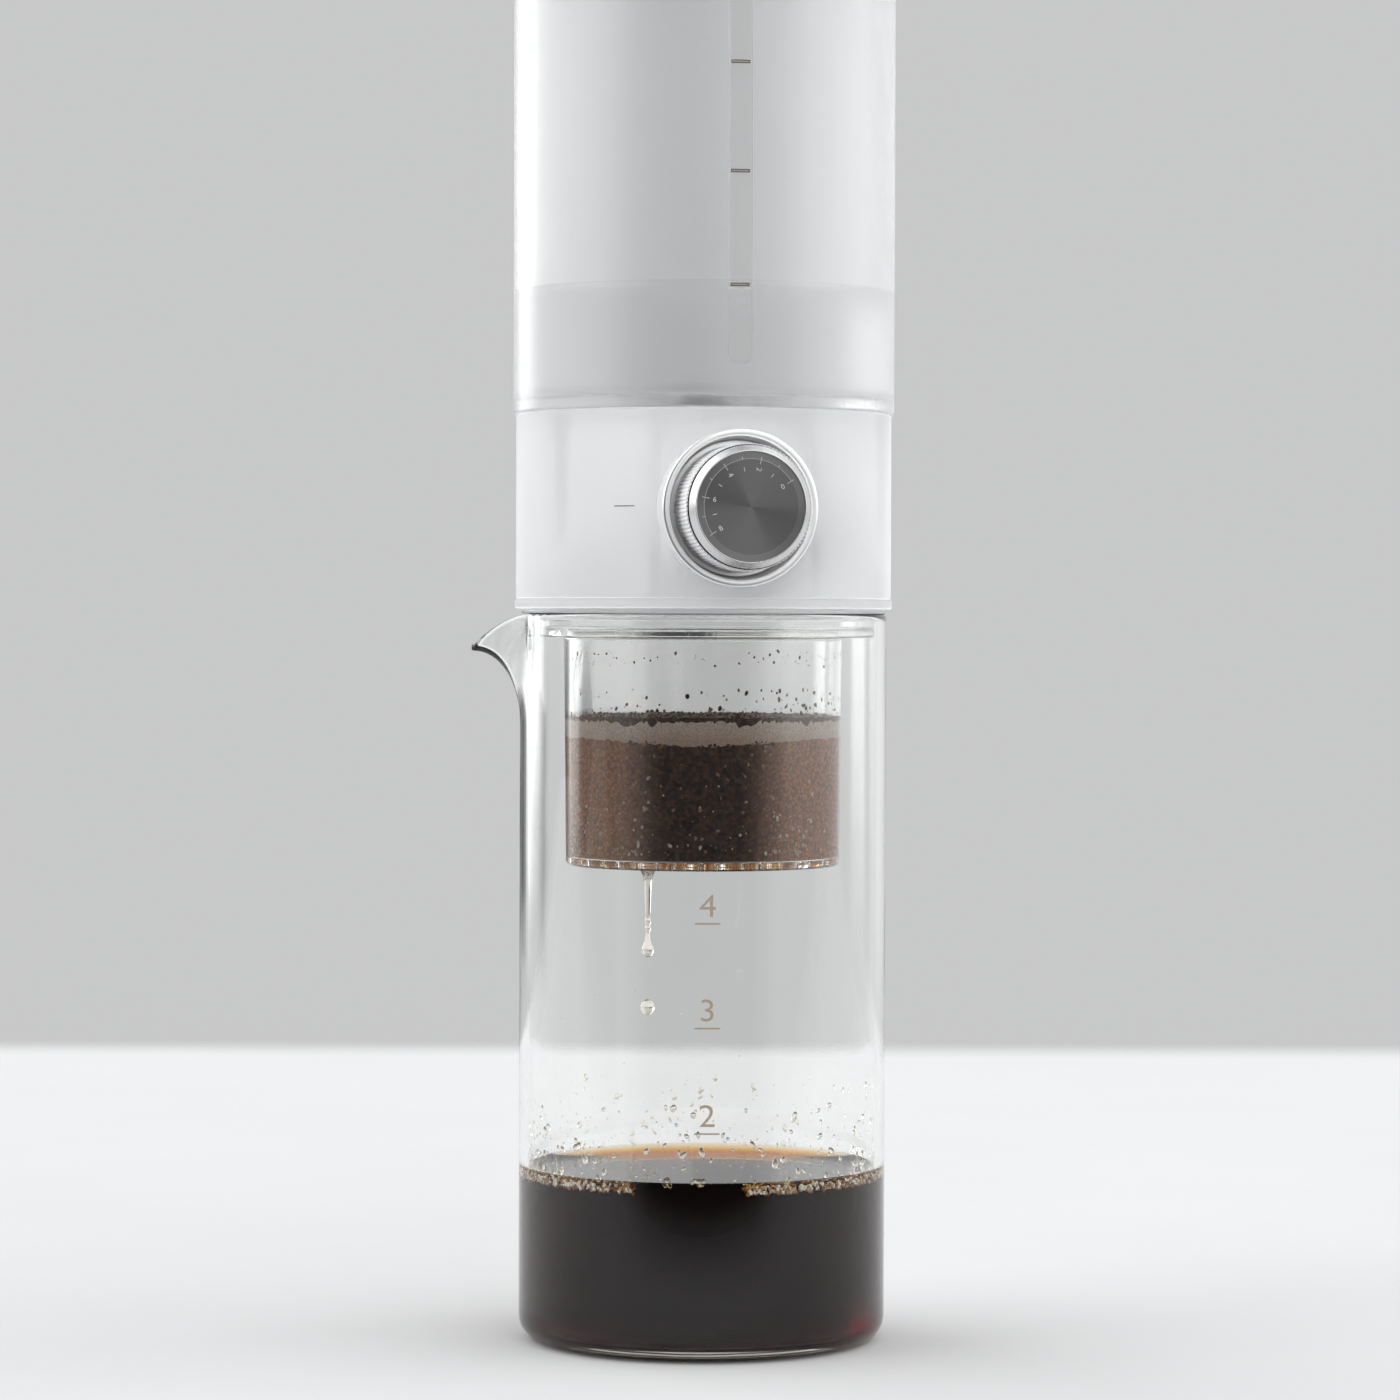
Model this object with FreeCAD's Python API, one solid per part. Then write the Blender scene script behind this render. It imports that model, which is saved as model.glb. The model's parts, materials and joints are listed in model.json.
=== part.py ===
import FreeCAD, Part
import math
import os
from FreeCAD import Vector

os.makedirs("parts", exist_ok=True)

# Iced coffee dripper, in millimetres. +Z is up, the origin is the centre of the carafe's underside.
# The front is -Y and the pouring lip points to -X. The knob and the tank's gauge strip are turned
# a little to the right of the front.

# Carafe
CARAFE_RADIUS = 45.75
CARAFE_WALL = 2.4
CARAFE_HEIGHT = 181.0
CARAFE_FLOOR = 3.6
CARAFE_CORNER = 6.0
CARAFE_INNER_CORNER = 4.5
CARAFE_RIM_ROUND = 0.8

# Pouring lip of the carafe
LIP_LENGTH = 12.25
LIP_ROOT_INSET = 6.0
LIP_ROOT_DEPTH = 26.0
LIP_TIP_DROP = 8.4
LIP_TIP_THICKNESS = 1.8
LIP_TIP_HALF_WIDTH = 2.6
LIP_ROOT_HALF_WIDTH = 19.0
LIP_WALL = 2.0
LIP_SIDE_SHARE = 0.3
LIP_EDGE_POWER = 2.3
LIP_PLAN_POWER = 1.4
LIP_KEEL_POWER = 3.0
LIP_FLOOR_POWER = 0.5
LIP_SECTIONS = 6

# Gasket between carafe and coffee container
GASKET_THICKNESS = 1.3
GASKET_INSET = 0.3
GASKET_GRIP = 0.1

# Coffee container
FLANGE_OVERHANG = 1.35
FLANGE_THICKNESS = 2.4
FLANGE_ROUND = 0.4
SKIRT_CLEARANCE = 0.65
SKIRT_DEPTH = 7.1
SKIRT_WALL = 2.0
SKIRT_ROUND = 0.5
SHOULDER_THICKNESS = 2.0
SHOULDER_WIDTH = 7.95
BODY_DRAFT = 0.6
BODY_WALL = 1.8
BODY_LENGTH = 56.8
BODY_FLOOR = 2.0
BODY_CORNER = 1.0
DRAIN_RADIUS = 2.4
DRAIN_FIRST_RING = 15.0
DRAIN_RING_STEP = 10.0
DRAINS_PER_RING = 8
DRAIN_PHASE = 25.7

# Filter at the bottom of the coffee container
FILTER_CLEARANCE = 0.3
FILTER_RIM_WIDTH = 2.6
FILTER_RIM_HEIGHT = 1.6
FILTER_DISC_THICKNESS = 0.3
FILTER_BITE = 1.4
FILTER_HOLE_RADIUS = 0.4
FILTER_HOLE_PITCH = 3.4

# Distributor plate on the container's ledge
PLATE_LEDGE = 1.25
PLATE_THICKNESS = 0.6
PLATE_CLEARANCE = 0.3
PLATE_SEAT_DEPTH = 1.2
PLATE_HOLE_RADIUS = 0.8
PLATE_HOLE_PITCH = 5.6

# Base collar under the tank
COLLAR_STEP = 0.3
COLLAR_WALL = 2.5
COLLAR_HEIGHT = 45.8
COLLAR_EDGE = 0.5

# Cover under the collar, and its screws
COVER_THICKNESS = 1.8
COVER_CLEARANCE = 0.2
SPIGOT_CLEARANCE = 0.4
SPIGOT_WALL = 1.8
SPIGOT_DEPTH = 4.5
NOZZLE_HOLE_CLEARANCE = 1.2
SCREW_COUNT = 3
SCREW_INSET = 4.5
SCREW_RADIUS = 1.5
SCREW_LENGTH = 8.0
SCREW_HEAD_RADIUS = 2.8
SCREW_HEAD_HEIGHT = 1.6
SCREW_SLOT_LENGTH = 3.2
SCREW_SLOT_WIDTH = 0.55
SCREW_SLOT_DEPTH = 0.8
SCREW_END_GAP = 1.0
BOSS_WALL = 1.7
BOSS_LENGTH = 12.0
RIB_THICKNESS = 1.8
THREAD_CLEARANCE = 0.05

# Water tank
TANK_STEP = 0.7
TANK_WALL = 2.5
TANK_FLOOR = 3.0
TANK_HEIGHT = 119.4
TANK_CORNER = 3.0
TANK_EDGE = 0.6
TANK_RIM_ROUND = 0.9
TANK_SPIGOT_DEPTH = 3.4
TANK_SPIGOT_WALL = 2.0
TANK_SPIGOT_CLEARANCE = 0.2

# Valve under the tank floor
KNOB_AZIMUTH = 10.9
KNOB_BELOW_TANK = 24.1
STEM_RADIUS = 6.0
STEM_CLEARANCE = 0.3
STEM_ABOVE_FLOOR = 1.6
VALVE_FLANGE_RADIUS = 12.0
VALVE_FLANGE_THICKNESS = 2.0
TANK_SEAL_THICKNESS = 1.2
COLUMN_RADIUS = 7.5
BARREL_RADIUS = 9.0
BARREL_BACK = 12.0
BARREL_END_WALL = 3.0
BORE_RADIUS = 5.0
PORT_RADIUS = 2.2
NOSE_RADIUS = 6.9
NOSE_LENGTH = 7.1
OUTLET_RADIUS = 5.5
OUTLET_DROP = 4.0
INLET_NUT_FLATS = 20.0
INLET_NUT_THICKNESS = 2.4
STRAINER_RADIUS = 16.0
STRAINER_SHEET = 0.5
STRAINER_ROUND = 0.9
STRAINER_HOLE_RADIUS = 0.5
STRAINER_HOLE_PITCH = 2.6
NOZZLE_SHANK_RADIUS = 3.4
NOZZLE_SHANK_LENGTH = 3.4
NOZZLE_FLANGE_RADIUS = 5.0
NOZZLE_FLANGE_THICKNESS = 1.4
NOZZLE_CONE_RADIUS = 3.2
NOZZLE_TIP_RADIUS = 1.5
NOZZLE_BELOW_COVER = 0.7
NOZZLE_BORE = 0.9
NOZZLE_ROUND = 0.3

# Knob well in the collar, escutcheon and panel nut; depths are measured from the object's axis
WELL_RADIUS = 17.6
WELL_WALL = 2.0
WELL_FLOOR = 2.2
WELL_DEPTH = 6.2
ESCUTCHEON_CLEARANCE = 0.2
ESCUTCHEON_FLOOR = 1.3
ESCUTCHEON_PROUD = 0.6
ESCUTCHEON_TOP_RADIUS = 19.05
ESCUTCHEON_FLARE = 0.8
ESCUTCHEON_MOUTH_RADIUS = 17.2
ESCUTCHEON_CUP_RADIUS = 16.6
ESCUTCHEON_ROUND = 0.7
ESCUTCHEON_FLOOR_ROUND = 0.3
PANEL_NUT_FLATS = 19.0
PANEL_NUT_THICKNESS = 2.8
PANEL_HOLE_CLEARANCE = 0.2

# Spindle, gland nut and O-rings
SPINDLE_RADIUS = 3.0
RUNNING_CLEARANCE = 0.05
SPINDLE_END_GAP = 0.5
PLUG_SHOULDER = 0.6
METER_WIDTH = 3.0
METER_DEPTH = 1.5
ORING_GROOVE_RADIUS = 3.5
ORING_GROOVE_WIDTH = 2.1
ORING_FIRST = 11.0
ORING_STEP = 4.2
ORING_COUNT = 2
ORING_CLEARANCE = 0.03
LUG_LENGTH = 2.0
LUG_RADIUS = 4.6
LUG_HALF_ANGLE = 12.0
STOP_GAP_ANGLE = 1.0
GLAND_END_GAP = 0.3
GLAND_HEAD_FLATS = 11.0
GLAND_HEAD_THICKNESS = 2.2
KNOB_TURN_BACK = 34.6
KNOB_TURN_ON = 147.6

# Knob
KNOB_RADIUS = 15.3
KNOB_FLOOR_GAP = 0.4
KNURL_COUNT = 96
KNURL_DEPTH = 0.3
KNOB_PROUD = 13.3
KNOB_WALL = 2.7
BEZEL_RADIUS = 15.0
BEZEL_LENGTH = 2.2
BEZEL_WIDTH = 1.6
BEZEL_ROUND = 0.15
BEZEL_GROOVE_DEPTH = 0.6
BEZEL_GROOVE_WIDTH = 0.5
DIAL_RADIUS = 13.1
DIAL_CLEARANCE = 0.05
DIAL_THICKNESS = 0.8
DIAL_SINK = 0.2
KNOB_FRONT_WALL = 1.9
CORE_CLEARANCE = 0.05
CORE_GAP = 0.5
SHAFT_FLAT = 2.2
SHAFT_END_GAP = 0.6

# Lid
LID_THICKNESS = 4.5
LID_ROUND = 1.6
LID_EDGE_ROUND = 0.4
LID_CEILING_ROUND = 1.0
LID_SKIRT_ROUND = 0.5
LID_SKIRT_DEPTH = 7.5
LID_SKIRT_WALL = 2.9
LID_SKIRT_CLEARANCE = 1.1
LID_DISH_DEPTH = 1.0
LID_DISH_MARGIN = 8.0
LID_DISH_ROUND = 0.6
LID_SEAL_CLEARANCE = 0.3
LID_SEAL_GROOVE_DEPTH = 1.3
LID_SEAL_BELOW_RIM = 4.0
VENT_RADIUS = 1.2
VENT_ROUND = 0.3

# Overrun of every cutting tool past the face that it opens
OVERRUN = 1.0

# Radii of the stacked pieces, which all follow the carafe's
CARAFE_BORE = CARAFE_RADIUS - CARAFE_WALL
FLANGE_RADIUS = CARAFE_RADIUS + FLANGE_OVERHANG
COLLAR_RADIUS = FLANGE_RADIUS - COLLAR_STEP
COLLAR_BORE = COLLAR_RADIUS - COLLAR_WALL
TANK_RADIUS = COLLAR_RADIUS + TANK_STEP
TANK_BORE = TANK_RADIUS - TANK_WALL
SKIRT_RADIUS = CARAFE_BORE - SKIRT_CLEARANCE
SKIRT_BORE = SKIRT_RADIUS - SKIRT_WALL
SPIGOT_RADIUS = SKIRT_BORE - SPIGOT_CLEARANCE
SPIGOT_BORE = SPIGOT_RADIUS - SPIGOT_WALL
SCREW_CIRCLE = SPIGOT_BORE - SCREW_INSET
BODY_TOP_RADIUS = SKIRT_RADIUS - SHOULDER_WIDTH
BODY_LOW_RADIUS = BODY_TOP_RADIUS - BODY_DRAFT
PLATE_SEAT_RADIUS = BODY_TOP_RADIUS - BODY_WALL + PLATE_LEDGE
PLATE_RADIUS = PLATE_SEAT_RADIUS - PLATE_CLEARANCE
FILTER_RADIUS = BODY_LOW_RADIUS - BODY_WALL - FILTER_CLEARANCE
FILTER_DISC_RADIUS = FILTER_RADIUS - FILTER_RIM_WIDTH + FILTER_BITE

# Heights, worked out from the sizes above
FLANGE_LOW = CARAFE_HEIGHT + GASKET_THICKNESS
FLANGE_TOP = FLANGE_LOW + FLANGE_THICKNESS
SHOULDER_LOW = FLANGE_LOW - SKIRT_DEPTH
SHOULDER_TOP = SHOULDER_LOW + SHOULDER_THICKNESS
PLATE_SEAT = SHOULDER_TOP - PLATE_SEAT_DEPTH
BODY_LOW = SHOULDER_LOW - BODY_LENGTH
FILTER_LOW = BODY_LOW + BODY_FLOOR
FILTER_DISC_LOW = FILTER_LOW + (FILTER_RIM_HEIGHT - FILTER_DISC_THICKNESS) / 2
COLLAR_LOW = FLANGE_TOP
COLLAR_TOP = COLLAR_LOW + COLLAR_HEIGHT
COVER_TOP = COLLAR_LOW + COVER_THICKNESS
TANK_LOW = COLLAR_TOP
TANK_FLOOR_TOP = TANK_LOW + TANK_FLOOR
TANK_RIM = TANK_LOW + TANK_HEIGHT
KNOB_HEIGHT = TANK_LOW - KNOB_BELOW_TANK
VALVE_FLANGE_TOP = TANK_LOW - TANK_SEAL_THICKNESS
INLET_NUT_TOP = TANK_FLOOR_TOP + INLET_NUT_THICKNESS
STRAINER_TOP = INLET_NUT_TOP + STRAINER_SHEET
OUTLET_LOW = KNOB_HEIGHT - BARREL_RADIUS - OUTLET_DROP
NOZZLE_TIP = COLLAR_LOW - NOZZLE_BELOW_COVER

# Stations along the knob's axis, measured from the object's axis
WELL_FACE = COLLAR_RADIUS - WELL_DEPTH
BARREL_FRONT = WELL_FACE - WELL_FLOOR
NOSE_FRONT = BARREL_FRONT + NOSE_LENGTH
ESCUTCHEON_FACE = WELL_FACE + ESCUTCHEON_FLOOR
ESCUTCHEON_TOP = COLLAR_RADIUS + ESCUTCHEON_PROUD
KNOB_BACK = ESCUTCHEON_FACE + KNOB_FLOOR_GAP
KNOB_FACE = COLLAR_RADIUS + KNOB_PROUD
GLAND_FRONT = NOSE_FRONT + GLAND_HEAD_THICKNESS
CORE_BACK = GLAND_FRONT + CORE_GAP
DIAL_SEAT = KNOB_FACE - DIAL_SINK - DIAL_THICKNESS
CORE_FRONT = DIAL_SEAT - KNOB_FRONT_WALL
SHAFT_FRONT = CORE_FRONT - SHAFT_END_GAP
BORE_BACK = BARREL_END_WALL - BARREL_BACK
PLUG_BACK = BORE_BACK + SPINDLE_END_GAP
PLUG_FRONT = ORING_FIRST + ORING_STEP * ORING_COUNT + PLUG_SHOULDER
KNOB_BORE = KNOB_RADIUS - KNOB_WALL


def cylinder(radius, low, high, x=0.0, y=0.0):
    """An upright cylinder between two heights."""
    return Part.makeCylinder(radius, high - low, Vector(x, y, low))


def tube(outer, inner, low, high):
    """An upright ring with a plain round bore."""
    return cylinder(outer, low, high).cut(cylinder(inner, low - OVERRUN, high + OVERRUN))


def hexagon(flats, low, high):
    """An upright hexagonal prism, sized across its flats."""
    reach = flats / math.sqrt(3)
    corners = [Vector(reach * math.cos(math.radians(60 * i)), reach * math.sin(math.radians(60 * i)), low)
               for i in range(6)]
    face = Part.Face(Part.makePolygon(corners + corners[:1]))
    return face.extrude(Vector(0, 0, high - low))


def rounded_outline(corners):
    """A closed wire through (radius, height, rounding) corners, each turned by a tangent arc."""
    points = [Vector(across, 0, up) for across, up, _ in corners]
    turns = []
    for i, corner in enumerate(corners):
        here = points[i]
        rounding = corner[2]
        if rounding <= 0:
            turns.append((here, None, here))
            continue
        back = (points[i - 1] - here).normalize()
        ahead = (points[(i + 1) % len(points)] - here).normalize()
        half = back.getAngle(ahead) / 2
        centre = here + (back + ahead).normalize() * (rounding / math.sin(half))
        middle = centre + (here - centre).normalize() * rounding
        reach = rounding / math.tan(half)
        turns.append((here + back * reach, middle, here + ahead * reach))
    edges = []
    for i, (start, middle, end) in enumerate(turns):
        if middle is not None:
            edges.append(Part.Arc(start, middle, end).toShape())
        following = turns[(i + 1) % len(turns)][0]
        if (following - end).Length > 1e-6:
            edges.append(Part.LineSegment(end, following).toShape())
    return Part.Wire(edges)


def turned(corners, angle=360.0):
    """A solid of revolution about the Z axis from its half outline."""
    face = Part.Face(rounded_outline(corners))
    return face.revolve(Vector(0, 0, 0), Vector(0, 0, 1), angle)


def on_knob_axis(shape):
    """Moves a shape made upright about Z so that Z runs out along the knob's axis."""
    moved = shape.copy()
    moved.rotate(Vector(0, 0, 0), Vector(1, 0, 0), 90)
    moved.translate(Vector(0, 0, KNOB_HEIGHT))
    moved.rotate(Vector(0, 0, 0), Vector(0, 0, 1), KNOB_AZIMUTH)
    return moved


def ring_places(pitch, limit):
    """Places of a perforation in rings: one in the middle, then six more in each ring."""
    places = [(0.0, 0.0)]
    ring = 1
    while ring * pitch <= limit:
        count = 6 * ring
        for i in range(count):
            angle = 2 * math.pi * i / count
            places.append((ring * pitch * math.cos(angle), ring * pitch * math.sin(angle)))
        ring += 1
    return places


def perforated_disc(radius, low, high, hole_radius, pitch, limit):
    """A round sheet with rings of small holes out to a limit."""
    wires = [Part.Wire(Part.makeCircle(radius, Vector(0, 0, low)))]
    for x, y in ring_places(pitch, limit):
        wires.append(Part.Wire(Part.makeCircle(hole_radius, Vector(x, y, low))))
    face = Part.Face(wires, "Part::FaceMakerBullseye")
    return face.extrude(Vector(0, 0, high - low))


def lip_drop(along):
    """How far the lip's edge has sunk below the rim, from 0 at its root to 1 at its tip."""
    return LIP_TIP_DROP * along ** LIP_EDGE_POWER


def lip_section(along, wall, extra):
    """One closed upright section across the pouring lip, shrunk by a wall, with its top raised by extra."""
    root = CARAFE_RADIUS - LIP_ROOT_INSET
    reach = root + (LIP_ROOT_INSET + LIP_LENGTH - wall) * along
    widening = (LIP_ROOT_HALF_WIDTH - LIP_TIP_HALF_WIDTH) * (1 - along) ** LIP_PLAN_POWER
    half_width = max(LIP_TIP_HALF_WIDTH + widening - wall, LIP_TIP_HALF_WIDTH / 3)
    top = CARAFE_HEIGHT - lip_drop(along)
    tip_low = CARAFE_HEIGHT - LIP_TIP_DROP - LIP_TIP_THICKNESS
    root_low = CARAFE_HEIGHT - LIP_ROOT_DEPTH
    sinking = (tip_low - root_low) * (1 - along) ** LIP_KEEL_POWER
    low = tip_low - sinking + wall * (1 - along) ** LIP_FLOOR_POWER
    side = top - (top - low) * LIP_SIDE_SHARE
    a = Vector(-reach, -half_width, top + extra)
    b = Vector(-reach, half_width, top + extra)
    c = Vector(-reach, half_width, side)
    d = Vector(-reach, -half_width, side)
    keel = Vector(-reach, 0, low)
    return Part.Wire([
        Part.LineSegment(a, b).toShape(),
        Part.LineSegment(b, c).toShape(),
        Part.Arc(c, keel, d).toShape(),
        Part.LineSegment(d, a).toShape(),
    ])


def lip_solid(wall, extra):
    """The pouring lip as a lofted beak."""
    stations = [i / (LIP_SECTIONS - 1) for i in range(LIP_SECTIONS)]
    return Part.makeLoft([lip_section(s, wall, extra) for s in stations], True, False)


def make_carafe():
    body = turned([
        (0, 0, 0),
        (CARAFE_RADIUS, 0, CARAFE_CORNER),
        (CARAFE_RADIUS, CARAFE_HEIGHT, CARAFE_RIM_ROUND),
        (CARAFE_BORE, CARAFE_HEIGHT, CARAFE_RIM_ROUND),
        (CARAFE_BORE, CARAFE_FLOOR, CARAFE_INNER_CORNER),
        (0, CARAFE_FLOOR, 0),
    ])
    bore = cylinder(CARAFE_BORE, CARAFE_FLOOR + CARAFE_INNER_CORNER, CARAFE_HEIGHT + OVERRUN)
    lip = lip_solid(0.0, 0.0).cut(bore)
    return body.fuse(lip).cut(lip_solid(LIP_WALL, CARAFE_WALL)).removeSplitter()


def make_container_gasket():
    return tube(CARAFE_RADIUS - GASKET_INSET, SKIRT_RADIUS + GASKET_GRIP, CARAFE_HEIGHT, FLANGE_LOW)


def make_coffee_container():
    cup = turned([
        (0, BODY_LOW, 0),
        (BODY_LOW_RADIUS, BODY_LOW, BODY_CORNER),
        (BODY_TOP_RADIUS, SHOULDER_LOW, 0),
        (SKIRT_RADIUS, SHOULDER_LOW, SKIRT_ROUND),
        (SKIRT_RADIUS, FLANGE_LOW, 0),
        (FLANGE_RADIUS, FLANGE_LOW, FLANGE_ROUND),
        (FLANGE_RADIUS, FLANGE_TOP, FLANGE_ROUND),
        (SKIRT_BORE, FLANGE_TOP, FLANGE_ROUND),
        (SKIRT_BORE, SHOULDER_TOP, SKIRT_ROUND),
        (PLATE_SEAT_RADIUS, SHOULDER_TOP, 0),
        (PLATE_SEAT_RADIUS, PLATE_SEAT, 0),
        (BODY_TOP_RADIUS - BODY_WALL, PLATE_SEAT, 0),
        (BODY_LOW_RADIUS - BODY_WALL, FILTER_LOW, 0),
        (0, FILTER_LOW, 0),
    ])
    drains = [cylinder(DRAIN_RADIUS, BODY_LOW - OVERRUN, FILTER_LOW + OVERRUN)]
    distance = DRAIN_FIRST_RING
    count = DRAINS_PER_RING
    while distance + DRAIN_RADIUS < FILTER_RADIUS - FILTER_RIM_WIDTH:
        for i in range(count):
            angle = math.radians(DRAIN_PHASE + 360.0 * i / count)
            drains.append(cylinder(DRAIN_RADIUS, BODY_LOW - OVERRUN, FILTER_LOW + OVERRUN,
                                   distance * math.cos(angle), distance * math.sin(angle)))
        distance += DRAIN_RING_STEP
        count += DRAINS_PER_RING
    return cup.cut(Part.makeCompound(drains))


def make_filter_disc():
    return perforated_disc(FILTER_DISC_RADIUS, FILTER_DISC_LOW, FILTER_DISC_LOW + FILTER_DISC_THICKNESS,
                           FILTER_HOLE_RADIUS, FILTER_HOLE_PITCH,
                           FILTER_RADIUS - FILTER_RIM_WIDTH - FILTER_HOLE_PITCH / 2)


def make_filter_rim():
    rim = tube(FILTER_RADIUS, FILTER_RADIUS - FILTER_RIM_WIDTH, FILTER_LOW, FILTER_LOW + FILTER_RIM_HEIGHT)
    return rim.cut(cylinder(FILTER_DISC_RADIUS, FILTER_DISC_LOW, FILTER_DISC_LOW + FILTER_DISC_THICKNESS))


def make_distributor_plate():
    return perforated_disc(PLATE_RADIUS, PLATE_SEAT, PLATE_SEAT + PLATE_THICKNESS, PLATE_HOLE_RADIUS,
                           PLATE_HOLE_PITCH, PLATE_RADIUS - PLATE_HOLE_PITCH)


def screw_angles():
    """Directions of the cover screws, clear of the knob."""
    return [KNOB_AZIMUTH - 90 + 360.0 * (i + 0.5) / SCREW_COUNT for i in range(SCREW_COUNT)]


def at_screws(shape):
    """Copies of a shape made on the +X side, one at each cover screw."""
    copies = []
    for angle in screw_angles():
        copy = shape.copy()
        copy.rotate(Vector(0, 0, 0), Vector(0, 0, 1), angle)
        copies.append(copy)
    return copies


def make_base_collar():
    wall = turned([
        (COLLAR_BORE, COLLAR_LOW, 0),
        (COLLAR_RADIUS, COLLAR_LOW, COLLAR_EDGE),
        (COLLAR_RADIUS, COLLAR_TOP, COLLAR_EDGE),
        (COLLAR_BORE, COLLAR_TOP, 0),
    ])
    well = on_knob_axis(cylinder(WELL_RADIUS + WELL_WALL, BARREL_FRONT, COLLAR_RADIUS))
    well = well.common(cylinder(COLLAR_RADIUS - COLLAR_WALL / 2, COLLAR_LOW, COLLAR_TOP))
    boss_radius = SCREW_RADIUS + BOSS_WALL
    boss = cylinder(boss_radius, COVER_TOP, COVER_TOP + BOSS_LENGTH, SCREW_CIRCLE)
    rib = Part.makeBox(COLLAR_RADIUS - COLLAR_WALL / 2 - SCREW_CIRCLE, RIB_THICKNESS, BOSS_LENGTH,
                       Vector(SCREW_CIRCLE, -RIB_THICKNESS / 2, COVER_TOP))
    rib = rib.common(cylinder(COLLAR_RADIUS - COLLAR_WALL / 2, COLLAR_LOW, COLLAR_TOP))
    collar = wall.fuse([well] + at_screws(boss.fuse(rib)))
    pilot = cylinder(SCREW_RADIUS + THREAD_CLEARANCE, COVER_TOP - OVERRUN, COVER_TOP + SCREW_LENGTH,
                     SCREW_CIRCLE)
    hollow = on_knob_axis(cylinder(WELL_RADIUS, WELL_FACE, COLLAR_RADIUS + OVERRUN))
    hole = on_knob_axis(cylinder(NOSE_RADIUS + PANEL_HOLE_CLEARANCE, BARREL_FRONT - OVERRUN,
                                 WELL_FACE + OVERRUN))
    return collar.cut(at_screws(pilot) + [hollow, hole]).removeSplitter()


def make_bottom_cover():
    disc = cylinder(COLLAR_BORE - COVER_CLEARANCE, COLLAR_LOW, COVER_TOP)
    spigot = tube(SPIGOT_RADIUS, SPIGOT_BORE, COLLAR_LOW - SPIGOT_DEPTH, COLLAR_LOW)
    centre = cylinder(NOZZLE_CONE_RADIUS + NOZZLE_HOLE_CLEARANCE, COLLAR_LOW - OVERRUN, COVER_TOP + OVERRUN)
    hole = cylinder(SCREW_RADIUS + THREAD_CLEARANCE, COLLAR_LOW - OVERRUN, COVER_TOP + OVERRUN, SCREW_CIRCLE)
    return disc.fuse(spigot).cut([centre] + at_screws(hole)).removeSplitter()


def make_cover_screws():
    head_low = COLLAR_LOW - SCREW_HEAD_HEIGHT
    shank = cylinder(SCREW_RADIUS, COLLAR_LOW, COVER_TOP + SCREW_LENGTH - SCREW_END_GAP, SCREW_CIRCLE)
    head = cylinder(SCREW_HEAD_RADIUS, head_low, COLLAR_LOW, SCREW_CIRCLE)
    long_slot = Part.makeBox(SCREW_SLOT_LENGTH, SCREW_SLOT_WIDTH, SCREW_SLOT_DEPTH,
                             Vector(SCREW_CIRCLE - SCREW_SLOT_LENGTH / 2, -SCREW_SLOT_WIDTH / 2, head_low))
    cross_slot = Part.makeBox(SCREW_SLOT_WIDTH, SCREW_SLOT_LENGTH, SCREW_SLOT_DEPTH,
                              Vector(SCREW_CIRCLE - SCREW_SLOT_WIDTH / 2, -SCREW_SLOT_LENGTH / 2, head_low))
    screw = shank.fuse(head).cut([long_slot, cross_slot]).removeSplitter()
    return Part.makeCompound(at_screws(screw))


def make_tank_vessel():
    spigot_radius = COLLAR_BORE - TANK_SPIGOT_CLEARANCE
    spigot_bore = spigot_radius - TANK_SPIGOT_WALL
    hole = STEM_RADIUS + STEM_CLEARANCE
    return turned([
        (hole, TANK_LOW, 0),
        (spigot_bore, TANK_LOW, 0),
        (spigot_bore, TANK_LOW - TANK_SPIGOT_DEPTH, 0),
        (spigot_radius, TANK_LOW - TANK_SPIGOT_DEPTH, 0),
        (spigot_radius, TANK_LOW, 0),
        (TANK_RADIUS, TANK_LOW, TANK_EDGE),
        (TANK_RADIUS, TANK_RIM, TANK_RIM_ROUND),
        (TANK_BORE, TANK_RIM, TANK_RIM_ROUND),
        (TANK_BORE, TANK_FLOOR_TOP, TANK_CORNER),
        (hole, TANK_FLOOR_TOP, 0),
    ])


def make_tank_seal():
    return tube(VALVE_FLANGE_RADIUS, STEM_RADIUS + THREAD_CLEARANCE, VALVE_FLANGE_TOP, TANK_LOW)


def make_inlet_nut():
    nut = hexagon(INLET_NUT_FLATS, TANK_FLOOR_TOP, INLET_NUT_TOP)
    return nut.cut(cylinder(STEM_RADIUS + THREAD_CLEARANCE, TANK_FLOOR_TOP - OVERRUN, INLET_NUT_TOP + OVERRUN))


def make_inlet_strainer():
    cap = turned([
        (0, INLET_NUT_TOP, 0),
        (STRAINER_RADIUS - STRAINER_SHEET, INLET_NUT_TOP, STRAINER_ROUND - STRAINER_SHEET),
        (STRAINER_RADIUS - STRAINER_SHEET, TANK_FLOOR_TOP, 0),
        (STRAINER_RADIUS, TANK_FLOOR_TOP, 0),
        (STRAINER_RADIUS, STRAINER_TOP, STRAINER_ROUND),
        (0, STRAINER_TOP, 0),
    ])
    holes = []
    for x, y in ring_places(STRAINER_HOLE_PITCH, STRAINER_RADIUS - STRAINER_HOLE_PITCH):
        holes.append(cylinder(STRAINER_HOLE_RADIUS, INLET_NUT_TOP - OVERRUN, STRAINER_TOP + OVERRUN, x, y))
    return cap.cut(Part.makeCompound(holes))


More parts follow.
